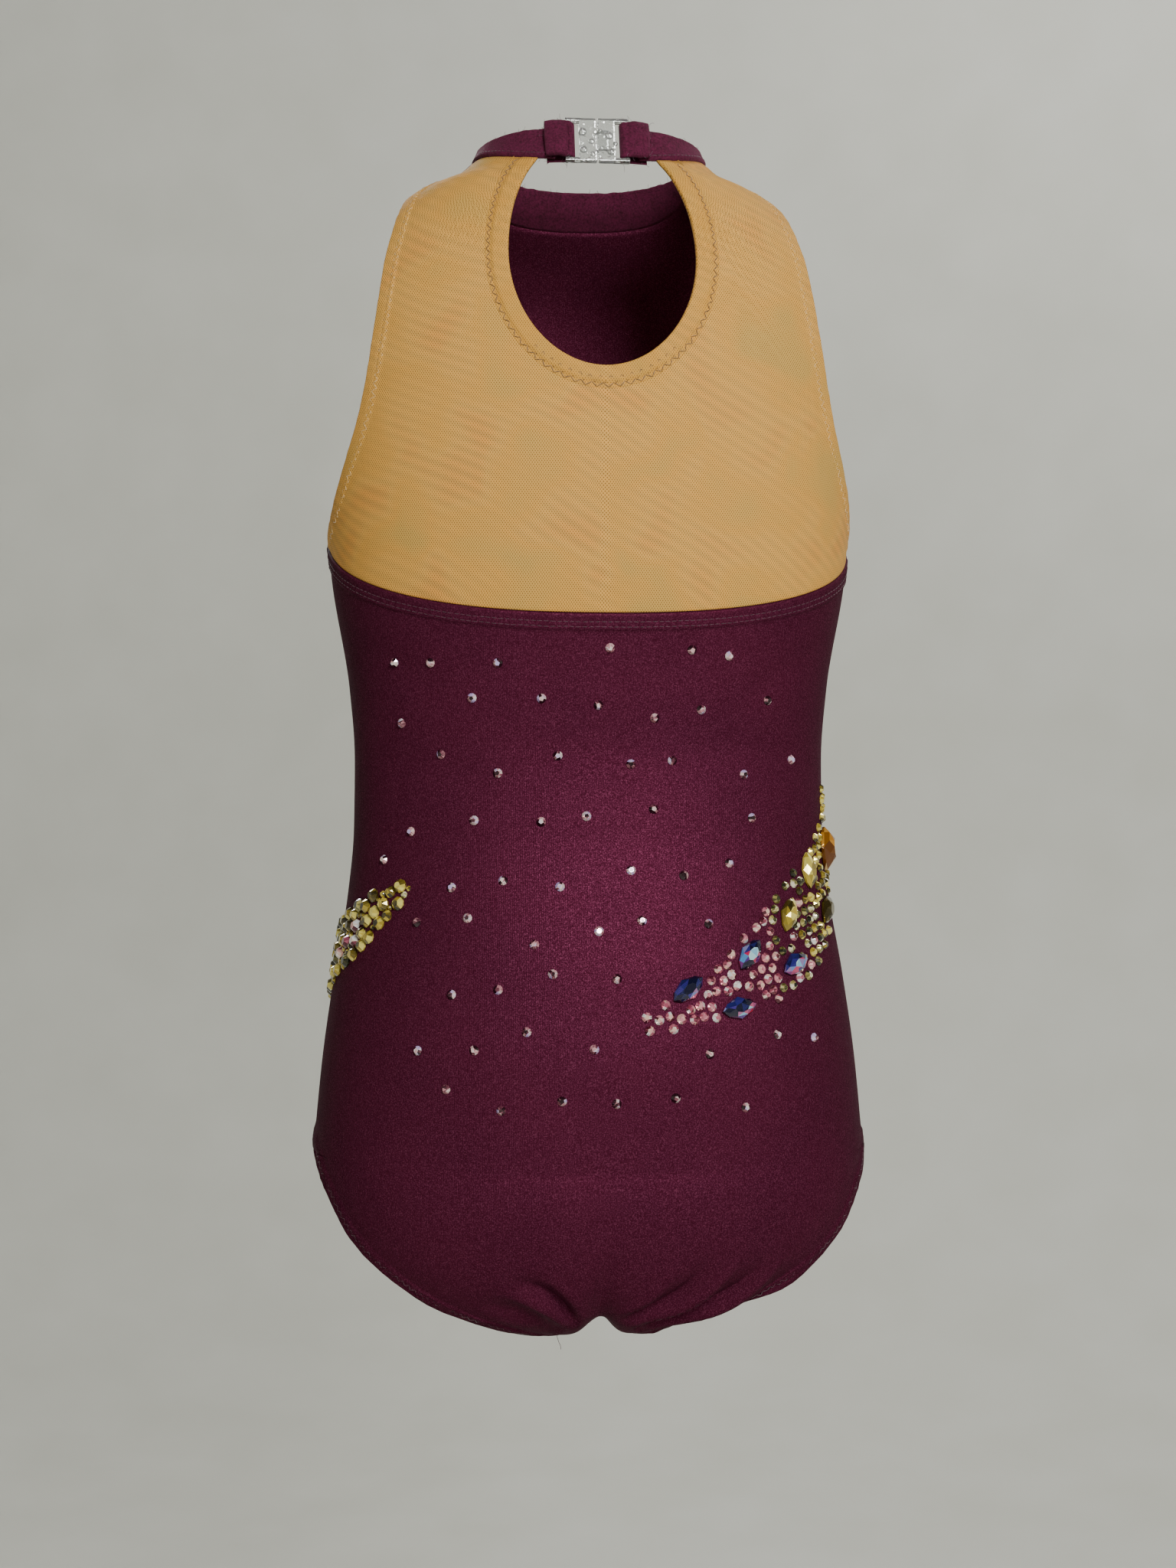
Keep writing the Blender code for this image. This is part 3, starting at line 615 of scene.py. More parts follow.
def turned(tree, degrees):
    """The places on the flat cloth, turned."""
    turn = (0.0, 0.0, math.radians(degrees))
    made = add(tree, "ShaderNodeMapping", {"Rotation": turn}, {"Vector": place_on(tree, "UV")})
    return made.outputs["Vector"]


def bands(tree, pitch, vector, values):
    """Soft bands at a pitch in millimetres."""
    sockets = {"Scale": WAVE_PITCH / (pitch * MM), **values}
    made = add(tree, "ShaderNodeTexWave", sockets, {"Vector": vector}, bands_direction="X")
    return made.outputs["Fac"]


def blend(tree, values, links):
    return add(tree, "ShaderNodeMix", values, links, data_type="RGBA").outputs["Result"]


def ranged(tree, source, low, high, to_low, to_high):
    """A value moved from one range to another."""
    sockets = {"From Min": low, "From Max": high, "To Min": to_low, "To Max": to_high}
    return add(tree, "ShaderNodeMapRange", sockets, {"Value": source}).outputs["Result"]


def calculated(tree, operation, first, second):
    return add(tree, "ShaderNodeMath", links={0: first, 1: second}, operation=operation).outputs["Value"]


def raise_surface(tree, shader, strength, height, source):
    """Bumps the surface by a height in millimetres."""
    bump = add(tree, "ShaderNodeBump", {"Strength": strength, "Distance": height * MM}, {"Height": source})
    tree.links.new(bump.outputs["Normal"], shader.inputs["Normal"])


def shiny_lycra():
    """Shiny warp knit of nylon and elastane, dyed burgundy and stretched.

    Its bright filaments give a broad soft gloss over faint upright ribs. The fine glints of that gloss
    are painted into the base colour as bright and dark grains, over the knit's own grain. The real
    loops are 0.25 mm, too fine to show, so the grain is drawn at 0.5 mm.
    """
    material, tree, shader = new_material("shiny_burgundy_lycra", {
        "IOR": 1.53,
        "Metallic": 0.45,
        "Specular IOR Level": 0.06,
        "Specular Tint": linear("#1E0810"),
    })
    grain = grain_of(tree, 0.5, Detail=2.0, Roughness=0.6)
    patches = grain_of(tree, 45, Detail=2.0)
    dye = colour_steps(tree, patches, [(0.3, "#441325"), (0.7, "#4D172A")])
    # painted glints: specks of the knit's grain, dark to bright pink, mixed into the base colour to stand for
    # the sparkle of its gloss
    grain_and_painted_glints = colour_steps(tree, grain, [(0.34, "#2C0E1A"), (0.52, "#52203A"), (0.68, "#8A4664")])
    tree.links.new(blend(tree, {"Factor": 0.4}, {"A": dye, "B": grain_and_painted_glints}), shader.inputs["Base Color"])
    tree.links.new(ranged(tree, grain, 0.3, 0.7, 0.68, 0.5), shader.inputs["Roughness"])
    ribs = bands(tree, 0.9, place_on(tree, "UV"), {"Distortion": 1.5, "Detail": 1.0})
    raise_surface(tree, shader, 0.35, 0.12, calculated(tree, "ADD", ribs, grain))
    return material


def brushed_lycra():
    """The soft reverse of the same knit, worn outwards on the collar: matt, with a short fuzz."""
    material, tree, shader = new_material("brushed_burgundy_lycra", {
        "Roughness": 0.85,
        "Specular IOR Level": 0.2,
        "Sheen Weight": 0.15,
        "Sheen Roughness": 0.6,
        "Sheen Tint": linear("#D27A9E"),
    })
    fuzz = grain_of(tree, 0.9, Detail=4.0, Roughness=0.7)
    nap = grain_of(tree, 5, Detail=2.0)
    light = colour_steps(tree, nap, [(0.35, "#38061B"), (0.65, "#4A0C2A")])
    hairs = colour_steps(tree, fuzz, [(0.35, "#20030E"), (0.65, "#6A1C42")])
    tree.links.new(blend(tree, {"Factor": 0.5}, {"A": light, "B": hairs}), shader.inputs["Base Color"])
    raise_surface(tree, shader, 0.7, 0.3, fuzz)
    return material


def power_mesh(name, thread, hole, soft, hole_share):
    """Power mesh: a fine slanting net of nylon and elastane, nude tan and matt.

    The real holes are 0.6 mm apart and are drawn at 0.9 mm to show. Over itself and a curve such a
    net shimmers in slanting ripples a few millimetres apart, and in soft patches of olive and orange.
    """
    material, tree, shader = new_material(name, {
        "Roughness": 0.7,
        "Specular IOR Level": 0.15,
        "Sheen Weight": 0.04,
        "Sheen Roughness": 0.5,
        "Sheen Tint": linear("#F0D8B0"),
    })
    threads = [
        bands(tree, 0.9, turned(tree, slant), {"Distortion": 0.5, "Detail": 0.0}) for slant in (36.0, -34.0)
    ]
    net = calculated(tree, "MAXIMUM", *threads)
    patches = grain_of(tree, 30, Detail=1.5, Distortion=0.4)
    steps = [(0.3, soft[0]), (0.45, thread), (0.55, soft[1]), (0.7, soft[2])]
    shimmer = colour_steps(tree, patches, steps)
    values = {"Distortion": 16.0, "Detail": 0.0, "Detail Scale": 0.16}
    ripples = bands(tree, 4.6, turned(tree, -62.0), values)
    rippled = calculated(tree, "MULTIPLY", ripples, ranged(tree, patches, 0.36, 0.64, 0.0, 0.34))
    shaded = blend(tree, {"B": linear(soft[3])}, {"Factor": rippled, "A": shimmer})
    covered = ranged(tree, net, 0.15, 0.75, 1.0 - hole_share, 1.0)
    base = blend(tree, {"A": linear(hole)}, {"Factor": covered, "B": shaded})
    tree.links.new(base, shader.inputs["Base Color"])
    raise_surface(tree, shader, 0.5, 0.2, net)
    return material


def sewing_thread(name, light, dark):
    """Spun polyester sewing thread, with the twist of its plies."""
    material, tree, shader = new_material(name, {"Roughness": 0.55, "Sheen Weight": 0.3})
    base = colour_steps(tree, grain_of(tree, 0.5, Detail=1.0), [(0.35, dark), (0.65, light)])
    tree.links.new(base, shader.inputs["Base Color"])
    return material


def cut_glass(name, steps):
    """Cut glass with a foil behind it: each facet's base colour is a painted reflection, one shade of the
    light picked along a ramp by its facet value.
    """
    material, tree, shader = new_material(name, {
        "Metallic": 0.4,
        "Roughness": 0.06,
        "Coat Weight": 1.0,
        "Coat Roughness": 0.03,
    })
    # the facet value picks a painted reflection, from dark to bright
    facet = add(tree, "ShaderNodeAttribute", attribute_name="facet")
    tree.links.new(colour_steps(tree, facet.outputs["Fac"], steps), shader.inputs["Base Color"])
    return material


def clear_plastic():
    """Clear moulded nylon: glossy, with the glints and soft ripples of its mould."""
    material, tree, shader = new_material("clear_moulded_nylon", {
        "Base Color": linear("#F6F8F6"),
        "Roughness": 0.05,
        "IOR": 1.5,
        "Transmission Weight": 0.9,
        "Coat Weight": 1.0,
        "Coat Roughness": 0.03,
    })
    raise_surface(tree, shader, 0.8, 0.9, grain_of(tree, 2.4, Detail=1.0))
    return material


def studio_paper():
    """A roll of matt pale grey paper, for the floor and backdrop."""
    material, tree, shader = new_material("pale_grey_paper", {"Roughness": 0.9})
    base = colour_steps(tree, grain_of(tree, 120, Detail=3.0), [(0.3, "#C3C3BA"), (0.7, "#C8C8C0")])
    tree.links.new(base, shader.inputs["Base Color"])
    return material


# Cloth


def deselect():
    bpy.ops.object.select_all(action="DESELECT")


def add_piece(name, vertices, faces, material):
    mesh = bpy.data.meshes.new(name)
    mesh.from_pydata(vertices, [], faces)
    mesh.materials.append(material)
    piece = bpy.data.objects.new(name, mesh)
    bpy.context.scene.collection.objects.link(piece)
    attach(piece, "root")
    return piece


def take_apart(model):
    """The vertices and faces of a model in a settled order, and the model is thrown away.

    The tools that make a model may list them in another order on each run.
    """
    places = [tuple(round(c, 6) for c in v.co) for v in model.data.vertices]
    vertices = sorted(places)
    at = {place: i for i, place in enumerate(vertices)}
    faces = []
    for polygon in model.data.polygons:
        face = [at[places[i]] for i in polygon.vertices]
        first = face.index(min(face))
        faces.append(tuple(face[first:] + face[:first]))
    bpy.data.objects.remove(model)
    return [Vector(place) for place in vertices], sorted(faces)


def grid_normals(points):
    rows, columns = len(points), len(points[0])
    normals = []
    for r in range(rows):
        row = []
        for c in range(columns):
            right = points[r][min(c + 1, columns - 1)] - points[r][max(c - 1, 0)]
            up = points[max(r - 1, 0)][c] - points[min(r + 1, rows - 1)][c]
            row.append(right.cross(up).normalized())
        normals.append(row)
    return normals


def tree_of(lines):
    """Points 0.25 mm apart along some lines, with how far along each is, for finding distances."""
    places = []
    run = 0.0
    for line in lines:
        for a, b in zip(line, line[1:]):
            length = (b - a).length
            count = max(int(length / 0.25), 1)
            for i in range(count):
                places.append((a.lerp(b, i / count), run + length * i / count))
            run += length
    tree = KDTree(len(places))
    for i, (place, _) in enumerate(places):
        tree.insert(place, i)
    tree.balance()
    return tree, [run for _, run in places]


def outline_of(points):
    left = [row[0] for row in points]
    right = [row[-1] for row in points]
    return {"top": points[0], "bottom": points[-1], "left": left, "right": right}


def both_ends(line, first, last):
    """The same run of a line from either end."""
    return line[first:last], line[-last:-first]


class Cloth:
    """A sheet with two faces: what its grid, hems and creases make of it."""

    def __init__(self, name, points, thickness, material, slot, hems=(), hem=None, stitches=(),
                 gather=0.0, lift=None, uv=None, flush=None):
        self.name = name
        normals = grid_normals(points)
        if lift:
            points = [
                [p + n * lift(p) for p, n in zip(row, normal_row)]
                for row, normal_row in zip(points, normals)
            ]
            normals = grid_normals(points)
        self.points = points
        edge, _ = tree_of([line for side, line in outline_of(points).items() if side != flush])
        hem_tree = tree_of(hems) if hems else None
        outer, hem_values = [], []
        for row, normal_row in zip(points, normals):
            for p, n in zip(row, normal_row):
                t, at_hem = thickness, 0.0
                if hem_tree:
                    _, i, off = hem_tree[0].find(p)
                    at_hem = 1.0 - smooth((off - HEM_WIDTH + HEM_SLOPE / 2) / HEM_SLOPE)
                    t = between(thickness, hem, at_hem)
                    for stitch in stitches:
                        t -= STITCH_SINK * math.exp(-(((off - stitch) / STITCH_SPREAD) ** 2))
                    along = hem_tree[1][i]
                    ripple = noise.noise(Vector((along / GATHER_ALONG, off / GATHER_ACROSS, 1.7)))
                    t += gather * ripple * smooth(1.6 - off / HEM_WIDTH)
                _, _, off = edge.find(p)
                left = 1.0 - min(off / ROUND_OFF, 1.0)
                t *= 0.35 + 0.65 * math.sqrt(1.0 - left * left)
                outer.append(p + n * t)
                hem_values.append(at_hem)
        self.make(outer, hem_values, material, uv)

    def make(self, outer, hem_values, material, uv):
        rows, columns = len(self.points), len(self.points[0])
        inner = [p for row in self.points for p in row]
        count = rows * columns
        faces = []
        for r in range(rows - 1):
            for c in range(columns - 1):
                a, b = r * columns + c, (r + 1) * columns + c
                faces.append((a, b, b + 1, a + 1))
        self.skin = BVHTree.FromPolygons([p * MM for p in outer], faces)
        walls = [tuple(count + i for i in reversed(face)) for face in faces]
        rim = (
            list(range(columns))
            + [r * columns + columns - 1 for r in range(1, rows)]
            + [(rows - 1) * columns + c for c in range(columns - 2, -1, -1)]
            + [r * columns for r in range(rows - 2, 0, -1)]
        )
        sides = [(a, b, count + b, count + a) for a, b in zip(rim, rim[1:] + rim[:1])]
        vertices = [p * MM for p in outer + inner]
        self.piece = add_piece(self.name, vertices, faces + walls + sides, material)
        mesh = self.piece.data
        layer = mesh.uv_layers.new(name="cloth")
        flat = uv or flat_places(self.points)
        for loop in mesh.loops:
            layer.data[loop.index].uv = flat[loop.vertex_index % count]
        mesh.attributes.new("hem", "FLOAT", "POINT").data.foreach_set("value", hem_values * 2)
        mesh.shade_smooth()

    def at(self, point):
        """The nearest place on the outside, in metres, and the direction out of it."""
        place, out, _, _ = self.skin.find_nearest(point * MM)
        return place, out


def flat_places(points):
    """Where each grid point lies on the cloth laid flat, in metres, from the middle of the top."""
    middle = len(points[0]) // 2
    down = lengths_along([row[middle] for row in points])
    flat = []
    for row, fall in zip(points, down):
        along = lengths_along(row)
        flat += [((run - along[middle]) * MM, -fall * MM) for run in along]
    return flat


def flat_on_form(grid):
    """Where each (turn, level) of a grid lies on the cloth laid flat, level for level."""
    found = {}
    flat = []
    for row in grid:
        for turn, level in row:
            key = round(level / 4.0)
            if key not in found:
                ring = [form_point(2.0 * i, 4.0 * key) for i in range(91)]
                found[key] = lengths_along(ring)
            at = min(abs(turn), 180.0) / 2.0
            i = min(int(at), 89)
            run = between(found[key][i], found[key][i + 1], at - i)
            flat.append((math.copysign(run, turn) * MM, level * MM))
    return flat


def row_places(path, stops_for):
    return [path(share) for share in shares_at(path, stops_for)]


def side_levels(count):
    below_hem = [UNDERARM - stop for stop in HEM_STOPS]
    start = below_hem[-1]
    return below_hem + [between(start, HINGE, i / count) for i in range(1, count + 1)]


def fan_levels(count):
    return [HINGE - QUARTER * i / count for i in range(1, count + 1)]


def back_cloth(material):
    levels = side_levels(BACK_ROWS)
    hem_rows = len(HEM_STOPS)
    grid = []
    spread = stops(BACK_COLUMNS, EDGE_STOPS, EDGE_STOPS)
    for i, level in enumerate(levels):
        share = max(0.0, (level - levels[hem_rows - 1]) / (HINGE - levels[hem_rows - 1]))
        drop = UNDERARM - levels[min(i, hem_rows - 1)]

        def path(s, share=share, drop=drop):
            turn = between(-BACK_EDGE, BACK_EDGE, s)
            return turn, between(back_top(turn) - drop, HINGE, share)

        grid.append(row_places(path, spread))
    for level in fan_levels(SEAT_ROWS):
        grid.append(row_places(lambda s, level=level: (between(-BACK_EDGE, BACK_EDGE, s), level), spread))
    points = on_form(grid)
    sides = outline_of(points)
    hems = [sides["top"], sides["left"][BACK_HIP_ROW:], sides["right"][BACK_HIP_ROW:]]

    def lift(p):
        return -crease_depth(p.x, p.z, BACK_SWAGS)

    return Cloth(
        "back_cloth", points, LYCRA, material, "lycra", hems, LYCRA_HEM, HEM_STITCHES, LYCRA_GATHER, lift
    )


def front_cloth(material):
    chest = UNDERARM + 0.2
    armhole = armhole_path(armhole_front)
    shares = shares_at(armhole, stops(ARMHOLE_ROWS, HEM_STOPS))
    neck = [
        (SHOULDER_SEAM, between(NECK_SIDE, ARMHOLE[0].level, i / SHOULDER_ROWS)) for i in range(SHOULDER_ROWS)
    ]
    spread = stops(FRONT_COLUMNS, EDGE_STOPS, EDGE_STOPS)
    grid = []
    for edge, edge_level in neck + [armhole(share) for share in reversed(shares[1:])]:
        sink = (NECK_SIDE - edge_level) / (NECK_SIDE - chest)

        def path(s, edge=edge, sink=sink):
            turn = between(edge, 360.0 - edge, s)
            return turn, between(neck_seam(turn), chest, sink)

        grid.append(row_places(path, spread))
    for level in side_levels(FRONT_ROWS) + fan_levels(LAP_ROWS):
        grid.append(
            row_places(lambda s, level=level: (between(FRONT_EDGE, 360.0 - FRONT_EDGE, s), level), spread)
        )
    points = on_form(grid)
    sides = outline_of(points)
    hems = []
    for side in ("left", "right"):
        hems += [sides[side][SHOULDER_ROWS:UNDERARM_ROW + 1], sides[side][FRONT_HIP_ROW:]]

    def lift(p):
        return -crease_depth(-p.x, p.z, FRONT_SWAGS)

    return Cloth(
        "front_cloth", points, LYCRA, material, "lycra", hems, LYCRA_HEM, HEM_STITCHES, LYCRA_GATHER, lift
    )


def yoke_cloth(material):
    def hem(s):
        return BACK_EDGE * s, back_top(BACK_EDGE * s)

    def shoulder(s):
        return SHOULDER_SEAM, between(ARMHOLE[0].level, neck_seam(SHOULDER_SEAM), s)

    edge = [(0.0, BACK_TOP_CENTRE)]
    for path, count in (
        (hem, YOKE_HEM_STEPS),
        (armhole_path(armhole_back), YOKE_ARMHOLE_STEPS),
        (shoulder, YOKE_SHOULDER_STEPS),
    ):
        edge += [path(share) for share in shares_at(path, stops(count))[1:]]
    half = len(edge) - 1
    grid = []
    spread = stops(YOKE_ROWS, YOKE_INNER_STOPS, OVER_HEM)
    for column in range(half, -half - 1, -1):
        inner = keyhole(column / half, BINDING_WIDTH)
        outer = (math.copysign(edge[abs(column)][0], column), edge[abs(column)][1])

        def path(s, inner=inner, outer=outer, top=abs(column) == half):
            turn = between(inner[0], outer[0], s)
            fall = s + YOKE_ROW_BOW * s * (1 - s)
            return turn, neck_seam(turn) if top else between(inner[1], outer[1], fall)

        grid.append(row_places(path, spread))
    points = on_form(grid)
    right = outline_of(points)["right"]
    hems = both_ends(right, YOKE_SHOULDER_STEPS, YOKE_SHOULDER_STEPS + YOKE_ARMHOLE_STEPS + 1)
    return Cloth(
        "yoke_cloth", points, MESH_CLOTH, material, "power_mesh", hems, MESH_HEM, YOKE_GROOVE, YOKE_GATHER,
        uv=flat_on_form(grid), flush="left",
    )


def binding_cloth(material):
    grid = [
        [keyhole(column / BINDING_STEPS, width) for width in BINDING_STOPS]
        for column in range(BINDING_STEPS, -BINDING_STEPS - 1, -1)
    ]
    points = on_form(grid)
    edge = [row[0] for row in points]
    return Cloth(
        "binding_cloth", points, MESH_CLOTH, material, "power_mesh", [edge], BINDING, (), BINDING_GATHER,
        uv=flat_on_form(grid), flush="right",
    )


def collar_cloth(material):
    """The stand collar, with an edge left raw and a little wavy."""
    end_turn = turn_at(COLLAR_END_X, between(NECK_BACK, COLLAR_TOP_BACK, 0.5))
    grid = []
    for i in range(COLLAR_ROWS + 1):
        def path(s, share=1 - i / COLLAR_ROWS):
            turn = between(end_turn, 360.0 - end_turn, s)
            wave = COLLAR_WAVE * noise.noise(Vector((turn / 4.0, 0.0, 0.0))) * share
            return turn, between(neck_seam(turn), collar_top(turn), share) + wave

        grid.append(row_places(path, stops(COLLAR_COLUMNS)))
    points = on_form(grid)

    def lift(p):
        return 0.25 * noise.noise(p / 9.0)

    return Cloth("collar_cloth", points, COLLAR, material, "collar_lycra", lift=lift)


def loop_cloth(name, side, material):
    """A collar end folded round its clasp bar, full where it is stitched down."""
    radius = CLASP_BAR_RADIUS + LOOP_EASE + LOOP_CLOTH / 2
    flat = [i / LOOP_FLAT_STEPS for i in range(LOOP_FLAT_STEPS + 1)]
    outline = [(between(LOOP_END_X, CLASP_BAR_X, share), CLASP_LIFT + radius) for share in flat[:-1]]
    for i in range(LOOP_TURN_STEPS + 1):
        angle = math.pi * i / LOOP_TURN_STEPS
        outline.append((CLASP_BAR_X - radius * math.sin(angle), CLASP_LIFT + radius * math.cos(angle)))
    outline += [(between(CLASP_BAR_X, LOOP_END_X, share), CLASP_LIFT - radius) for share in flat[1:]]
    rows = []
    for i in range(LOOP_ROWS + 1):
        down = i / LOOP_ROWS
        row = []
        for x, out in outline:
            level = between(LOOP_TOP, LOOP_BOTTOM, down)
            turn = turn_at(side * x, level)
            puff = 0.0
            if out > CLASP_LIFT:
                along = (x - CLASP_BAR_X) / (LOOP_END_X - CLASP_BAR_X)
                full = math.sin(math.pi * down) ** 0.6 * math.sin(math.pi * min(max(along, 0.0), 1.0)) ** 0.7
                puff = LOOP_BULGE * full + LOOP_PUCKER * noise.noise(Vector((x / 2.4, level / 3.4, side)))
            row.append(form_point(turn, level) + outward(turn, level) * (out - LOOP_CLOTH / 2 + puff))
        rows.append(row if side < 0 else row[::-1])
    return Cloth(name, rows, LOOP_CLOTH, material, "collar_lycra")


# Stitching


def grain_model():
    """One stitch of thread, 1 long: a slim spindle."""
    deselect()
    bpy.ops.mesh.primitive_uv_sphere_add(segments=6, ring_count=4, radius=0.5)
    model = bpy.context.object
    bpy.ops.object.mode_set(mode="EDIT")
    bpy.ops.mesh.select_all(action="SELECT")
    bpy.ops.transform.rotate(value=math.pi / 2, orient_axis="Y", center_override=(0, 0, 0))
    bpy.ops.object.mode_set(mode="OBJECT")
    return take_apart(model)


def set_domes(name, domes, solids, material):
    """Sets low round domes on the back of some solids, each where a line through x and z meets it."""
    deselect()
    bpy.ops.mesh.primitive_uv_sphere_add(segments=16, ring_count=10, radius=1.0)
    ball, ball_faces = take_apart(bpy.context.object)
    skins = []
    for solid in solids:
        corners = [solid.matrix_world @ v.co for v in solid.data.vertices]
        skins.append(BVHTree.FromPolygons(corners, [tuple(p.vertices) for p in solid.data.polygons]))
    vertices, faces = [], []
    for dome in domes:
        start = Vector((dome.x, -200.0, dome.z)) * MM
        hits = [skin.ray_cast(start, Vector((0.0, 1.0, 0.0)))[0] for skin in skins]
        place = min((hit for hit in hits if hit), key=lambda hit: hit.y, default=None)
        if place is None:
            continue
        first = len(vertices)
        for x, y, z in ball:
            vertices.append(place + Vector((x, y * BOSS_RISE, z)) * dome.radius * MM)
        faces += [tuple(first + i for i in face) for face in ball_faces]
    add_piece(name, vertices, faces, material).data.shade_smooth()


def line_on(cloth, line, inset, spacing):
    """Places on a cloth that follow its edge at an inset, as (place, out, along), in metres."""
    lengths = lengths_along(line)
    count = max(int(lengths[-1] / spacing), 1)
    places = []
    for k in range(count + 1):
        at = lengths[-1] * k / count
        i = min(bisect.bisect_right(lengths, at), len(line) - 1) - 1
        step = lengths[i + 1] - lengths[i]
        p = line[i].lerp(line[i + 1], (at - lengths[i]) / step if step else 0.0)
        along = (line[min(i + 2, len(line) - 1)] - line[max(i - 1, 0)]).normalized()
        _, out = cloth.at(p)
        across = out.cross(along).normalized()
        probe = p + across * 4.0
        other = p - across * 4.0
        if (cloth.at(other)[0] / MM - other).length < (cloth.at(probe)[0] / MM - probe).length:
            across = -across
        for _ in range(3):  # the edge itself is rounded over, so the cloth inside it gives the way
            _, inside = cloth.at(p + across * FLAT_INSIDE)
            flat = inside.cross(along).normalized()
            across = flat if flat.dot(across) > 0 else -flat
        swings = (-STITCH_HALF_SWING, 0.0, STITCH_HALF_SWING)
        places.append([cloth.at(p + across * (inset + swing)) for swing in swings])
    return places


def stitch_row(places, kind):
    """Ends of each stitch along a row, zigzag or straight."""
    ends = []
    for k in range(len(places) - 1):
        if kind == "zigzag":
            ends.append((places[k][0 if k % 2 else 2], places[k + 1][2 if k % 2 else 0]))
        else:
            a, b = places[k][1], places[k + 1][1]
            ends.append((a, (a[0].lerp(b[0], STRAIGHT_STITCH), b[1])))
    return ends


def sew(name, cloth, rows, kind, spacing, radius, model, material):
    """Sews rows on a cloth, each a line and its inset, as copies of one stitch joined together."""
    vertices, faces = [], []
    ends = []
    for line, inset in rows:
        ends += stitch_row(line_on(cloth, line, inset, spacing), kind)
    for (start, out_a), (end, out_b) in ends:
        run = end - start
        out = (out_a + out_b).normalized()
        across = out.cross(run).normalized()
        out = run.cross(across).normalized() * -1.0
        if out.dot(out_a) < 0:
            out = -out
        middle = (start + end) / 2 + out * radius * STITCH_RISE
        first = len(vertices)
        for v in model[0]:
            thick = (across * v.y + out * v.z) * 2 * radius
            vertices.append(middle + run * v.x * STITCH_OVERLAP + thick)
        flip = run.cross(across).dot(out) < 0
        for face in model[1]:
            order = reversed(face) if flip else face
            faces.append(tuple(first + i for i in order))
    add_piece(name, vertices, faces, material).data.shade_smooth()


def fibre(start, heading, length, wander, chance):
    """The bends of a loose fibre that leaves a place along a heading and curls as it goes."""
    step = length / FIBRE_STEPS
    bends = [start]
    for _ in range(FIBRE_STEPS):
        curl = Vector([chance.uniform(-wander, wander) for _ in range(3)])
        heading = (heading + curl).normalized()
        bends.append(bends[-1] + heading * step)
    return bends


def fibres(name, paths, radius, material):
    """Threads with three sides, swept along their bends."""
    vertices, faces = [], []
    for path in paths:
        first = len(vertices)
        for i, place in enumerate(path):
            run = (path[min(i + 1, len(path) - 1)] - path[max(i - 1, 0)]).normalized()
            across = run.orthogonal().normalized()
            for k in range(3):
                spoke = Matrix.Rotation(2 * math.pi * k / 3, 3, run) @ across
                vertices.append(place + spoke * radius)
            if i:
                a, b = first + 3 * (i - 1), first + 3 * i
                faces += [(a + k, a + (k + 1) % 3, b + (k + 1) % 3, b + k) for k in range(3)]
        faces += [(first + 2, first + 1, first), tuple(len(vertices) - 3 + k for k in range(3))]
    add_piece(name, vertices, faces, material).data.shade_smooth()


# Stones


def stone_model(sides, crown):
    """A flat-backed stone 1 wide, with a flat table: its crown's rings are given as (rise, width)."""
    deselect()
    bpy.ops.mesh.primitive_circle_add(vertices=sides, radius=0.5, fill_type="NGON")
    model = bpy.context.object
    bpy.ops.object.mode_set(mode="EDIT")
    bpy.ops.mesh.select_all(action="SELECT")
    width = 1.0
    for rise, wide in crown:
        bpy.ops.mesh.extrude_region_move(TRANSFORM_OT_translate={"value": (0, 0, rise)})
        share = wide / width
        bpy.ops.transform.resize(value=(share, share, 1.0), center_override=(0, 0, 0))
        if wide < 1.0:
            bpy.ops.transform.rotate(value=math.pi / sides, orient_axis="Z", center_override=(0, 0, 0))
        width = wide
    bpy.ops.mesh.select_all(action="SELECT")
    bpy.ops.mesh.quads_convert_to_tris(quad_method="SHORTEST_DIAGONAL")
    bpy.ops.mesh.select_all(action="SELECT")
    bpy.ops.mesh.normals_make_consistent(inside=False)
    bpy.ops.object.mode_set(mode="OBJECT")
    return take_apart(model)


def stone_axes(out, spin):
    up = (Vector((0.0, 0.0, 1.0)) - out * out.z).normalized()
    up = Matrix.Rotation(spin, 3, out) @ up
    return up.cross(out), up, out


def set_stones(name, stones, model, material, chance):
    """Sets copies of one stone, each as (place, out, spin, (width, length, height), taper)."""
    vertices, faces, facet_painted_reflections = [], [], []
    sectors = []
    for face in model[1]:
        middle = sum((model[0][i] for i in face), Vector()) / len(face)
        share = math.atan2(middle.y, middle.x) / math.tau + 0.5
        sectors.append(SECTORS if math.hypot(middle.x, middle.y) < 0.2 else int(share * SECTORS) % SECTORS)
    for place, out, spin, size, taper in stones:
        axes = stone_axes(out, spin)
        first = len(vertices)
        for v in model[0]:
            narrow = 1.0 - taper * (2 * abs(v.y)) ** 2
            local = (v.x * narrow * size[0], v.y * size[1], v.z * size[2])
            vertices.append(place + sum((axis * d * MM for axis, d in zip(axes, local)), Vector()))
        # painted reflections: one shade of light for each sector of a stone, jittered for each facet
        sector_painted_reflections = [chance.random() for _ in range(SECTORS + 1)]
        for face, sector in zip(model[1], sectors):
            faces.append(tuple(first + i for i in face))
            facet_painted_reflections.append(min(max(sector_painted_reflections[sector] + chance.uniform(-0.16, 0.16), 0.0), 1.0))
    piece = add_piece(name, vertices, faces, material)
    piece.data.attributes.new("facet", "FLOAT", "FACE").data.foreach_set("value", facet_painted_reflections)
    return piece


def trail_at(s):
    """A place on the plain curve that the large stones follow, and the way the curve runs there."""
    start, bend, end = Vector(TRAIL_START), Vector(TRAIL_BEND), Vector(TRAIL_END)
    place = start * (1 - s) ** 2 + bend * 2 * s * (1 - s) + end * s * s
    return place, ((bend - start) * (1 - s) + (end - bend) * s).normalized()


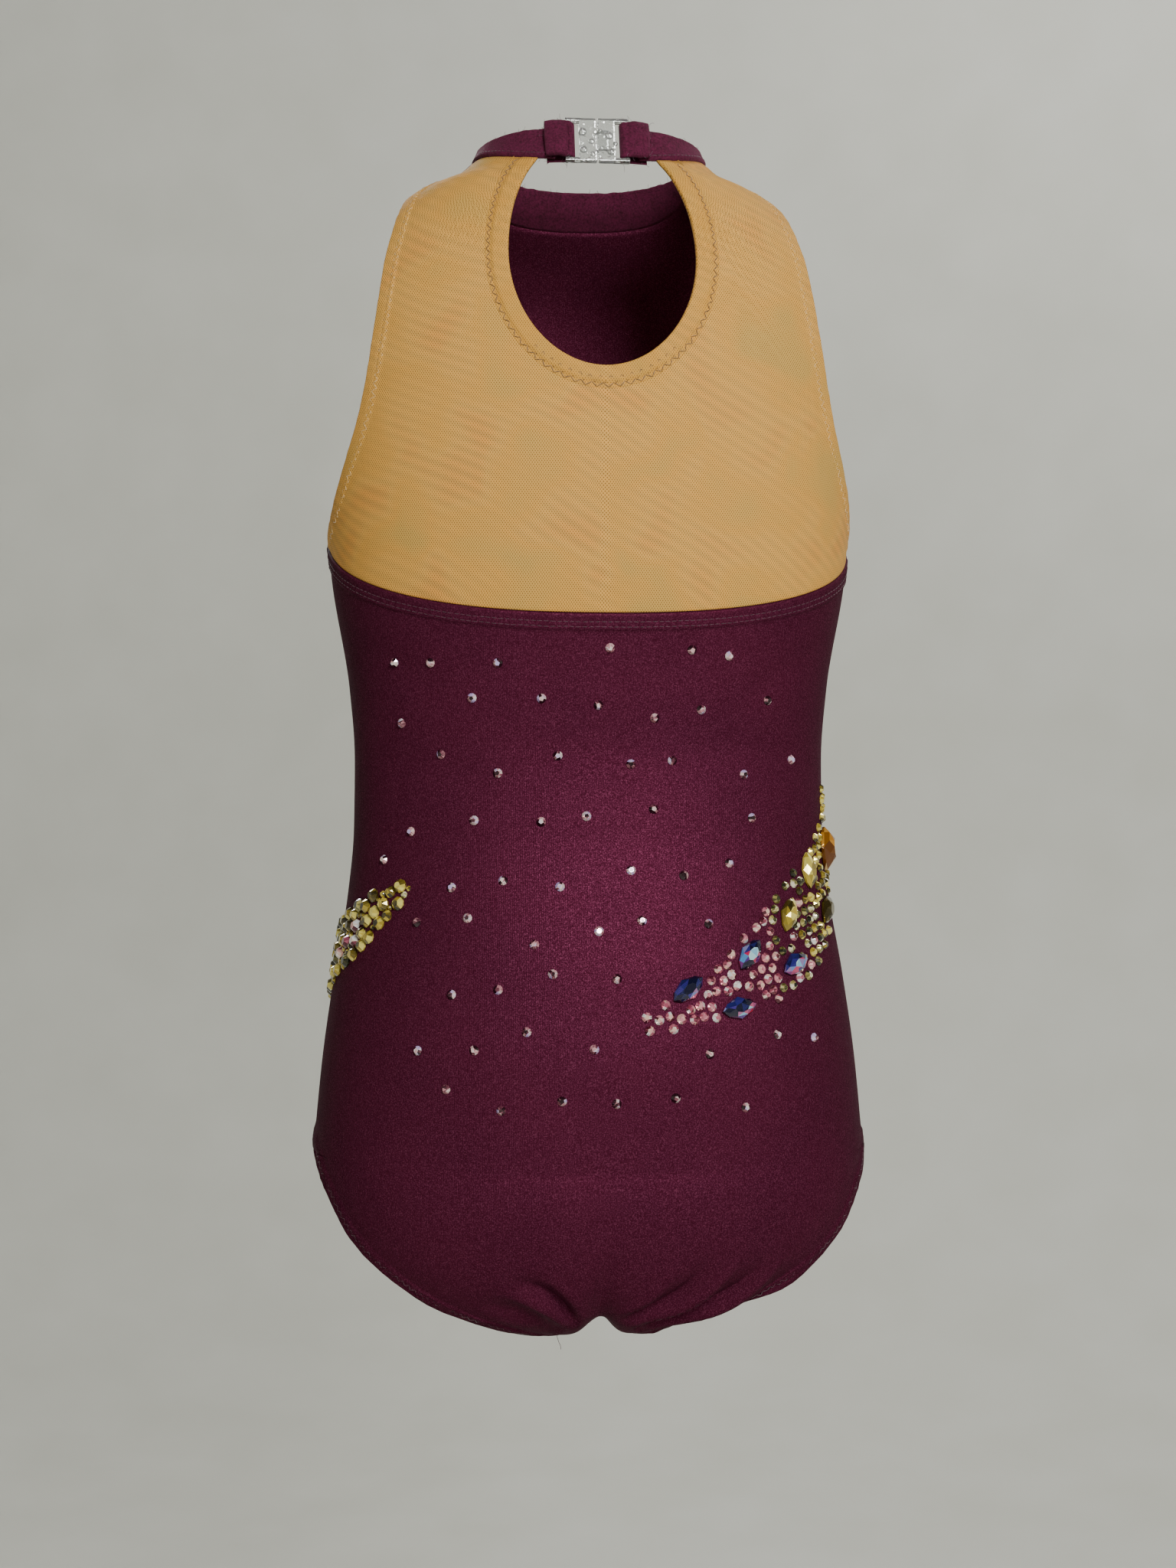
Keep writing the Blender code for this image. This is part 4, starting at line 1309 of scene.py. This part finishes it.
def large_stones(glass, chance):
    """The leaf and drop stones, finely cut, where their solids are."""
    model = stone_model(8, LEAF_CROWN)
    taken = []
    for i, (name, cut, colour) in enumerate(TRAIL):
        place, run = trail_at(i / (len(TRAIL) - 1))
        hand = 0 if i == 0 else (-1) ** i
        place += Vector((-run.y, run.x)) * hand * TRAIL_SWING
        lean = math.degrees(math.atan2(-run.x, -run.y)) + hand * TRAIL_LEAN
        turn = turn_at(place.x, place.y)
        out = outward(turn, place.y)
        lift = LYCRA + STONE_GAP + cut.width ** 2 / 8 / STONE_SEAT_RADIUS
        at = (form_point(turn, place.y) + out * lift) * MM
        stone = (at, out, math.radians(-lean), (cut.width, cut.length, cut.height), LEAF_TAPER)
        piece = set_stones(f"cut_{name}", [stone], model, glass[colour], chance)
        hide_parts(name)
        up = stone_axes(out, math.radians(-lean))[1]
        for share in (-0.33, 0.0, 0.33):
            taken.append((at + up * share * cut.length * MM, cut.width * 0.42 * MM))
    return taken


def clear_of(taken, place, radius, gap=1.0):
    return all((place - other).length > (radius + wide) * gap for other, wide in taken)


def nearest_on(cloths, point):
    """The nearest place on any of some cloths, and the direction out of it."""
    return min((cloth.at(point) for cloth in cloths), key=lambda hit: (hit[0] / MM - point).length)


def set_if_clear(stones, taken, place, out, size, share, gap):
    """Keeps a stone if it is clear of the others."""
    if clear_of(taken, place, size / 2 * MM, gap):
        taken.append((place, size / 2 * MM))
        stones.append((place, out, size, share))


def band(cloths, path, width_at, sizes, taken, chance, tries):
    """Packs round stones over a band of cloth, large ones first and small ones in the gaps.

    The path gives (turn, level) and width_at the half width.
    """
    stones = []
    for i in range(tries):
        s = chance.random()
        size = between(sizes[1], sizes[0], smooth(2.0 * i / tries))
        off = chance.uniform(-1.0, 1.0) * width_at(s)
        turn, level = path(s)
        ahead = path(min(s + 0.02, 1.0))
        here, there = form_point(turn, level), form_point(*ahead)
        out = outward(turn, level)
        across = out.cross((there - here).normalized())
        place, out = nearest_on(cloths, here + across * off)
        set_if_clear(stones, taken, place, out, size, s, PACKED)
    return stones


def stone_rows(cloths, path, width_at, size, pitch, taken, chance):
    """Sets stones in staggered rows across a path, a little uneven, as they are glued by hand."""
    stones = []
    length = lengths_along([form_point(*path(i / FINE_STEPS)) for i in range(FINE_STEPS + 1)])[-1]
    shares = shares_at(path, stops(round(length / (pitch * ROW_STEP))))
    for k, s in enumerate(shares):
        here = form_point(*path(s))
        run = form_point(*path(min(s + 0.01, 1.0))) - form_point(*path(max(s - 0.01, 0.0)))
        across = outward(*path(s)).cross(run.normalized())
        count = max(round(2 * width_at(s) / pitch), 1)
        for i in range(count + k % 2):
            off = (i - (count + k % 2 - 1) / 2) * pitch + chance.uniform(-ROUND_UNEVEN, ROUND_UNEVEN)
            point = here + across * off + run.normalized() * chance.uniform(-ROUND_UNEVEN, ROUND_UNEVEN)
            place, out = nearest_on(cloths, point)
            set_if_clear(stones, taken, place, out, size * chance.uniform(0.95, 1.05), s, TOUCHING)
    return stones


def scatter(cloth, facing, field, taken, chance):
    """Loose rows of single stones, staggered and uneven, over the front or the back."""
    stones = []
    x_limit, low, high, step = field
    for row in range(round((high - low) / step) + 1):
        z = high - row * step
        for i in range(int(2 * x_limit / step) + 1):
            x = -x_limit + (i + 0.5 * (row % 2)) * step * 1.08 + chance.uniform(-5.0, 5.0)
            level = z + chance.uniform(-5.5, 5.5)
            if abs(x) > x_limit or chance.random() < 0.1:
                continue
            ray = Vector((x, facing * 200.0, level)) * MM
            place, out, _, _ = cloth.skin.ray_cast(ray, Vector((0.0, -facing, 0.0)))
            if place and clear_of(taken, place, SINGLE_CLEARANCE * MM):
                taken.append((place, SINGLE_STONE / 2 * MM))
                stones.append((place, out, SINGLE_STONE, chance.random()))
    return stones


def as_round(stones, chance):
    return [
        (place - out * SUNK * MM, out, chance.uniform(0.0, math.pi), (size, size, size * 0.42), 0.0)
        for place, out, size, _ in stones
    ]


# The scene

lycra = shiny_lycra()
brushed = brushed_lycra()
net = power_mesh(
    "tan_power_mesh", "#DDA24A", "#6E4A1C", ("#CBA050", "#E2A850", "#E4A04A", "#94804C"), 0.85
)
doubled_net = power_mesh(
    "tan_doubled_mesh", "#D69A42", "#74501A", ("#C69848", "#DAA048", "#DC9A42", "#907A46"), 0.75
)
tan_thread = sewing_thread("tan_thread", "#A0763A", "#4A3210")
pale_thread = sewing_thread("pale_tan_thread", "#ECCB90", "#B98C4A")
burgundy_thread = sewing_thread("burgundy_thread", "#571C38", "#2A0B18")
glass = {colour: cut_glass(f"{colour}_cut_glass", steps) for colour, steps in GLASS.items()}

back = back_cloth(lycra)
front = front_cloth(lycra)
yoke = yoke_cloth(net)
binding = binding_cloth(doubled_net)
collar = collar_cloth(brushed)
loops = [loop_cloth("loop_cloth_left", -1, brushed), loop_cloth("loop_cloth_right", 1, brushed)]
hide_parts("back_panel")
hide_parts("front_panel")
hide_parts("back_yoke")
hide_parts("keyhole_binding")
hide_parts("collar_band")
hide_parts("collar_loop_left")
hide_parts("collar_loop_right")

clasp_plastic = clear_plastic()
for name in CLASP_NODES:
    for material_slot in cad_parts[name].material_slots:
        material_slot.material = clasp_plastic

set_domes("clasp_bosses", CLASP_BOSSES, [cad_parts[name] for name in CLASP_NODES], clasp_plastic)

stitch = grain_model()
back_edges = outline_of(back.points)
front_edges = outline_of(front.points)
hem_line = back_edges["top"][3:-3]
sew(
    "hem_stitches", back, [(hem_line, inset) for inset in HEM_STITCHES], "straight", 2.6, 0.17 * MM,
    stitch, burgundy_thread,
)
rows = [(back_edges[side][BACK_HIP_ROW:-ROW_ENDS], LEG_STITCHES) for side in ("left", "right")]
sew("back_leg_stitches", back, rows, "zigzag", 1.5, 0.16 * MM, stitch, burgundy_thread)
rows = []
for side in ("left", "right"):
    rows.append((front_edges[side][FRONT_HIP_ROW:-ROW_ENDS], LEG_STITCHES))
    rows.append((front_edges[side][SHOULDER_ROWS + 1:UNDERARM_ROW], LEG_STITCHES))
sew("front_edge_stitches", front, rows, "zigzag", 1.5, 0.16 * MM, stitch, burgundy_thread)
armholes = both_ends(
    outline_of(yoke.points)["right"], YOKE_SHOULDER_STEPS + 1, YOKE_SHOULDER_STEPS + YOKE_ARMHOLE_STEPS
)
rows = [(line, YOKE_STITCHES) for line in armholes]
sew("armhole_stitches", yoke, rows, "zigzag", 1.6, 0.2 * MM, stitch, pale_thread)
keyhole_edge = outline_of(binding.points)["left"]
foot = keyhole_edge[BINDING_STEPS - BINDING_FOOT_STEPS:BINDING_STEPS + BINDING_FOOT_STEPS + 1]
rows = [(keyhole_edge[ROW_ENDS:-ROW_ENDS], BINDING_STITCHES), (foot, BINDING_FOOT_STITCHES)]
sew("binding_stitches", binding, rows, "zigzag", 1.8, 0.25 * MM, stitch, tan_thread)
collar_edges = outline_of(collar.points)
rows = [(collar_edges["bottom"][ROW_ENDS:-ROW_ENDS], COLLAR_STITCHES)]
sew("collar_stitches", collar, rows, "straight", 2.4, 0.17 * MM, stitch, burgundy_thread)

chance = random.Random(7)
frayed = []
for cloth in loops:
    rims = outline_of(cloth.points)
    for side, count in LOOP_FRAY.items():
        for _ in range(count):
            place, out = cloth.at(chance.choice(rims[side]))
            heading = out * 0.6 + Vector([chance.uniform(-1.0, 1.0) for _ in range(3)])
            frayed.append(fibre(place, heading.normalized(), chance.uniform(1.2, 4.2) * MM, 0.45, chance))
for side, (rise, count) in COLLAR_FRAY.items():
    for _ in range(count):
        place, out = collar.at(chance.choice(collar_edges[side]))
        heading = out * 0.5 + Vector((chance.uniform(-0.6, 0.6), chance.uniform(-0.6, 0.6), rise))
        frayed.append(fibre(place, heading.normalized(), chance.uniform(0.6, 2.4) * MM, 0.5, chance))
fibres("frayed_fibres", frayed, 0.07 * MM, burgundy_thread)
hanging = []
for turn, level, length in LOOSE_ENDS:
    place, out = back.at(form_point(turn, level))
    heading = (out * 0.3 + Vector((0.2, 0.0, -1.0))).normalized()
    hanging.append(fibre(place, heading, length * MM, 0.35, chance))
fibres("hanging_threads", hanging, 0.12 * MM, burgundy_thread)
taken = large_stones(glass, chance)
small = stone_model(10, CROWN)


def spray_path(s):
    """Along the curve of the large stones and past both its ends."""
    place, _ = trail_at(between(*SPRAY_REACH, s))
    return min(turn_at(place.x, place.y), 88.0), place.y


def spray_width(s):
    """A plain crescent, fullest in the middle."""
    return SPRAY_TAIL + SPRAY_FULL * math.sin(math.pi * s) ** 1.2


def patch_path(s):
    """A plain slanting leaf, from the left of the back down round the left hip to the front."""
    return between(*PATCH_TURNS, s), PATCH_TOP - PATCH_DROP * math.sin(math.pi / 2 * s)


def patch_width(s):
    return PATCH_TAIL + PATCH_FULL * math.sin(math.pi * s) ** 0.8


spray = stone_rows([back, front], spray_path, spray_width, ROUND_STONE, ROUND_PITCH, taken, chance)
patch = band([back, front], patch_path, patch_width, PATCH_SIZES, taken, chance, PATCH_TRIES)
singles = scatter(back, -1, BACK_FIELD, taken, chance) + scatter(front, 1, FRONT_FIELD, taken, chance)
sets = {"rose": singles, "gold": [], "pink": [], "olive": []}
for stone in spray:
    at = stone[3] + chance.uniform(-COLOURS_MINGLE, COLOURS_MINGLE)
    sets["gold" if at < GOLD_END else "olive" if at < OLIVE_END else "pink"].append(stone)
for stone in patch:
    sets[chance.choices(("gold", "pink", "olive"), (0.8, 0.08, 0.12))[0]].append(stone)
for colour, stones in sets.items():
    set_stones(f"crystals_{colour}", as_round(stones, chance), small, glass[colour], chance)


def studio(paper):
    """A round floor whose rim sweeps up into a wall on all sides."""
    radius, sweep, steps, sides = 2.5, 0.9, 12, 64
    profile = [(0.0, 0.0), (radius - sweep, 0.0)]
    for i in range(1, steps + 1):
        angle = math.pi / 2 * i / steps
        profile.append((radius - sweep + sweep * math.sin(angle), sweep - sweep * math.cos(angle)))
    profile.append((radius, 3.4))
    mesh = bpy.data.meshes.new("studio_sweep")
    vertices = [(0.0, 0.0, FLOOR)]
    for reach, rise in profile[1:]:
        for k in range(sides):
            angle = 2 * math.pi * k / sides
            vertices.append((reach * math.cos(angle), reach * math.sin(angle), FLOOR + rise))
    faces = [(0, 1 + k, 1 + (k + 1) % sides) for k in range(sides)]
    for ring in range(len(profile) - 2):
        low, high = 1 + ring * sides, 1 + (ring + 1) * sides
        for k in range(sides):
            after = (k + 1) % sides
            faces.append((low + k, high + k, high + after, low + after))
    mesh.from_pydata(vertices, [], faces)
    mesh.materials.append(paper)
    mesh.shade_smooth()
    floor = bpy.data.objects.new("studio_sweep", mesh)
    bpy.context.scene.collection.objects.link(floor)


def soft_light(made_from):
    data = bpy.data.lights.new(made_from.name, "AREA")
    data.shape = "RECTANGLE"
    data.size, data.size_y = made_from.size
    data.energy = made_from.power
    light = bpy.data.objects.new(made_from.name, data)
    light.location = made_from.place
    aim = Vector(made_from.target) - Vector(made_from.place)
    light.rotation_euler = aim.to_track_quat("-Z", "Y").to_euler()
    bpy.context.scene.collection.objects.link(light)


studio(studio_paper())
for each in LIGHTS:
    soft_light(each)

world = bpy.data.worlds.new("soft_room")
world.use_nodes = True
background = world.node_tree.nodes["Background"]
background.inputs["Color"].default_value = linear("#D8DAD6")
background.inputs["Strength"].default_value = ROOM_LIGHT
bpy.context.scene.world = world

camera_data = bpy.data.cameras.new("camera")
camera_data.lens = LENS
camera_data.sensor_width = 36.0
camera = bpy.data.objects.new("camera", camera_data)
camera.location = CAMERA_PLACE
camera.rotation_euler = (math.radians(CAMERA_TILT), 0.0, math.radians(CAMERA_TURN))
bpy.context.scene.collection.objects.link(camera)
bpy.context.scene.camera = camera
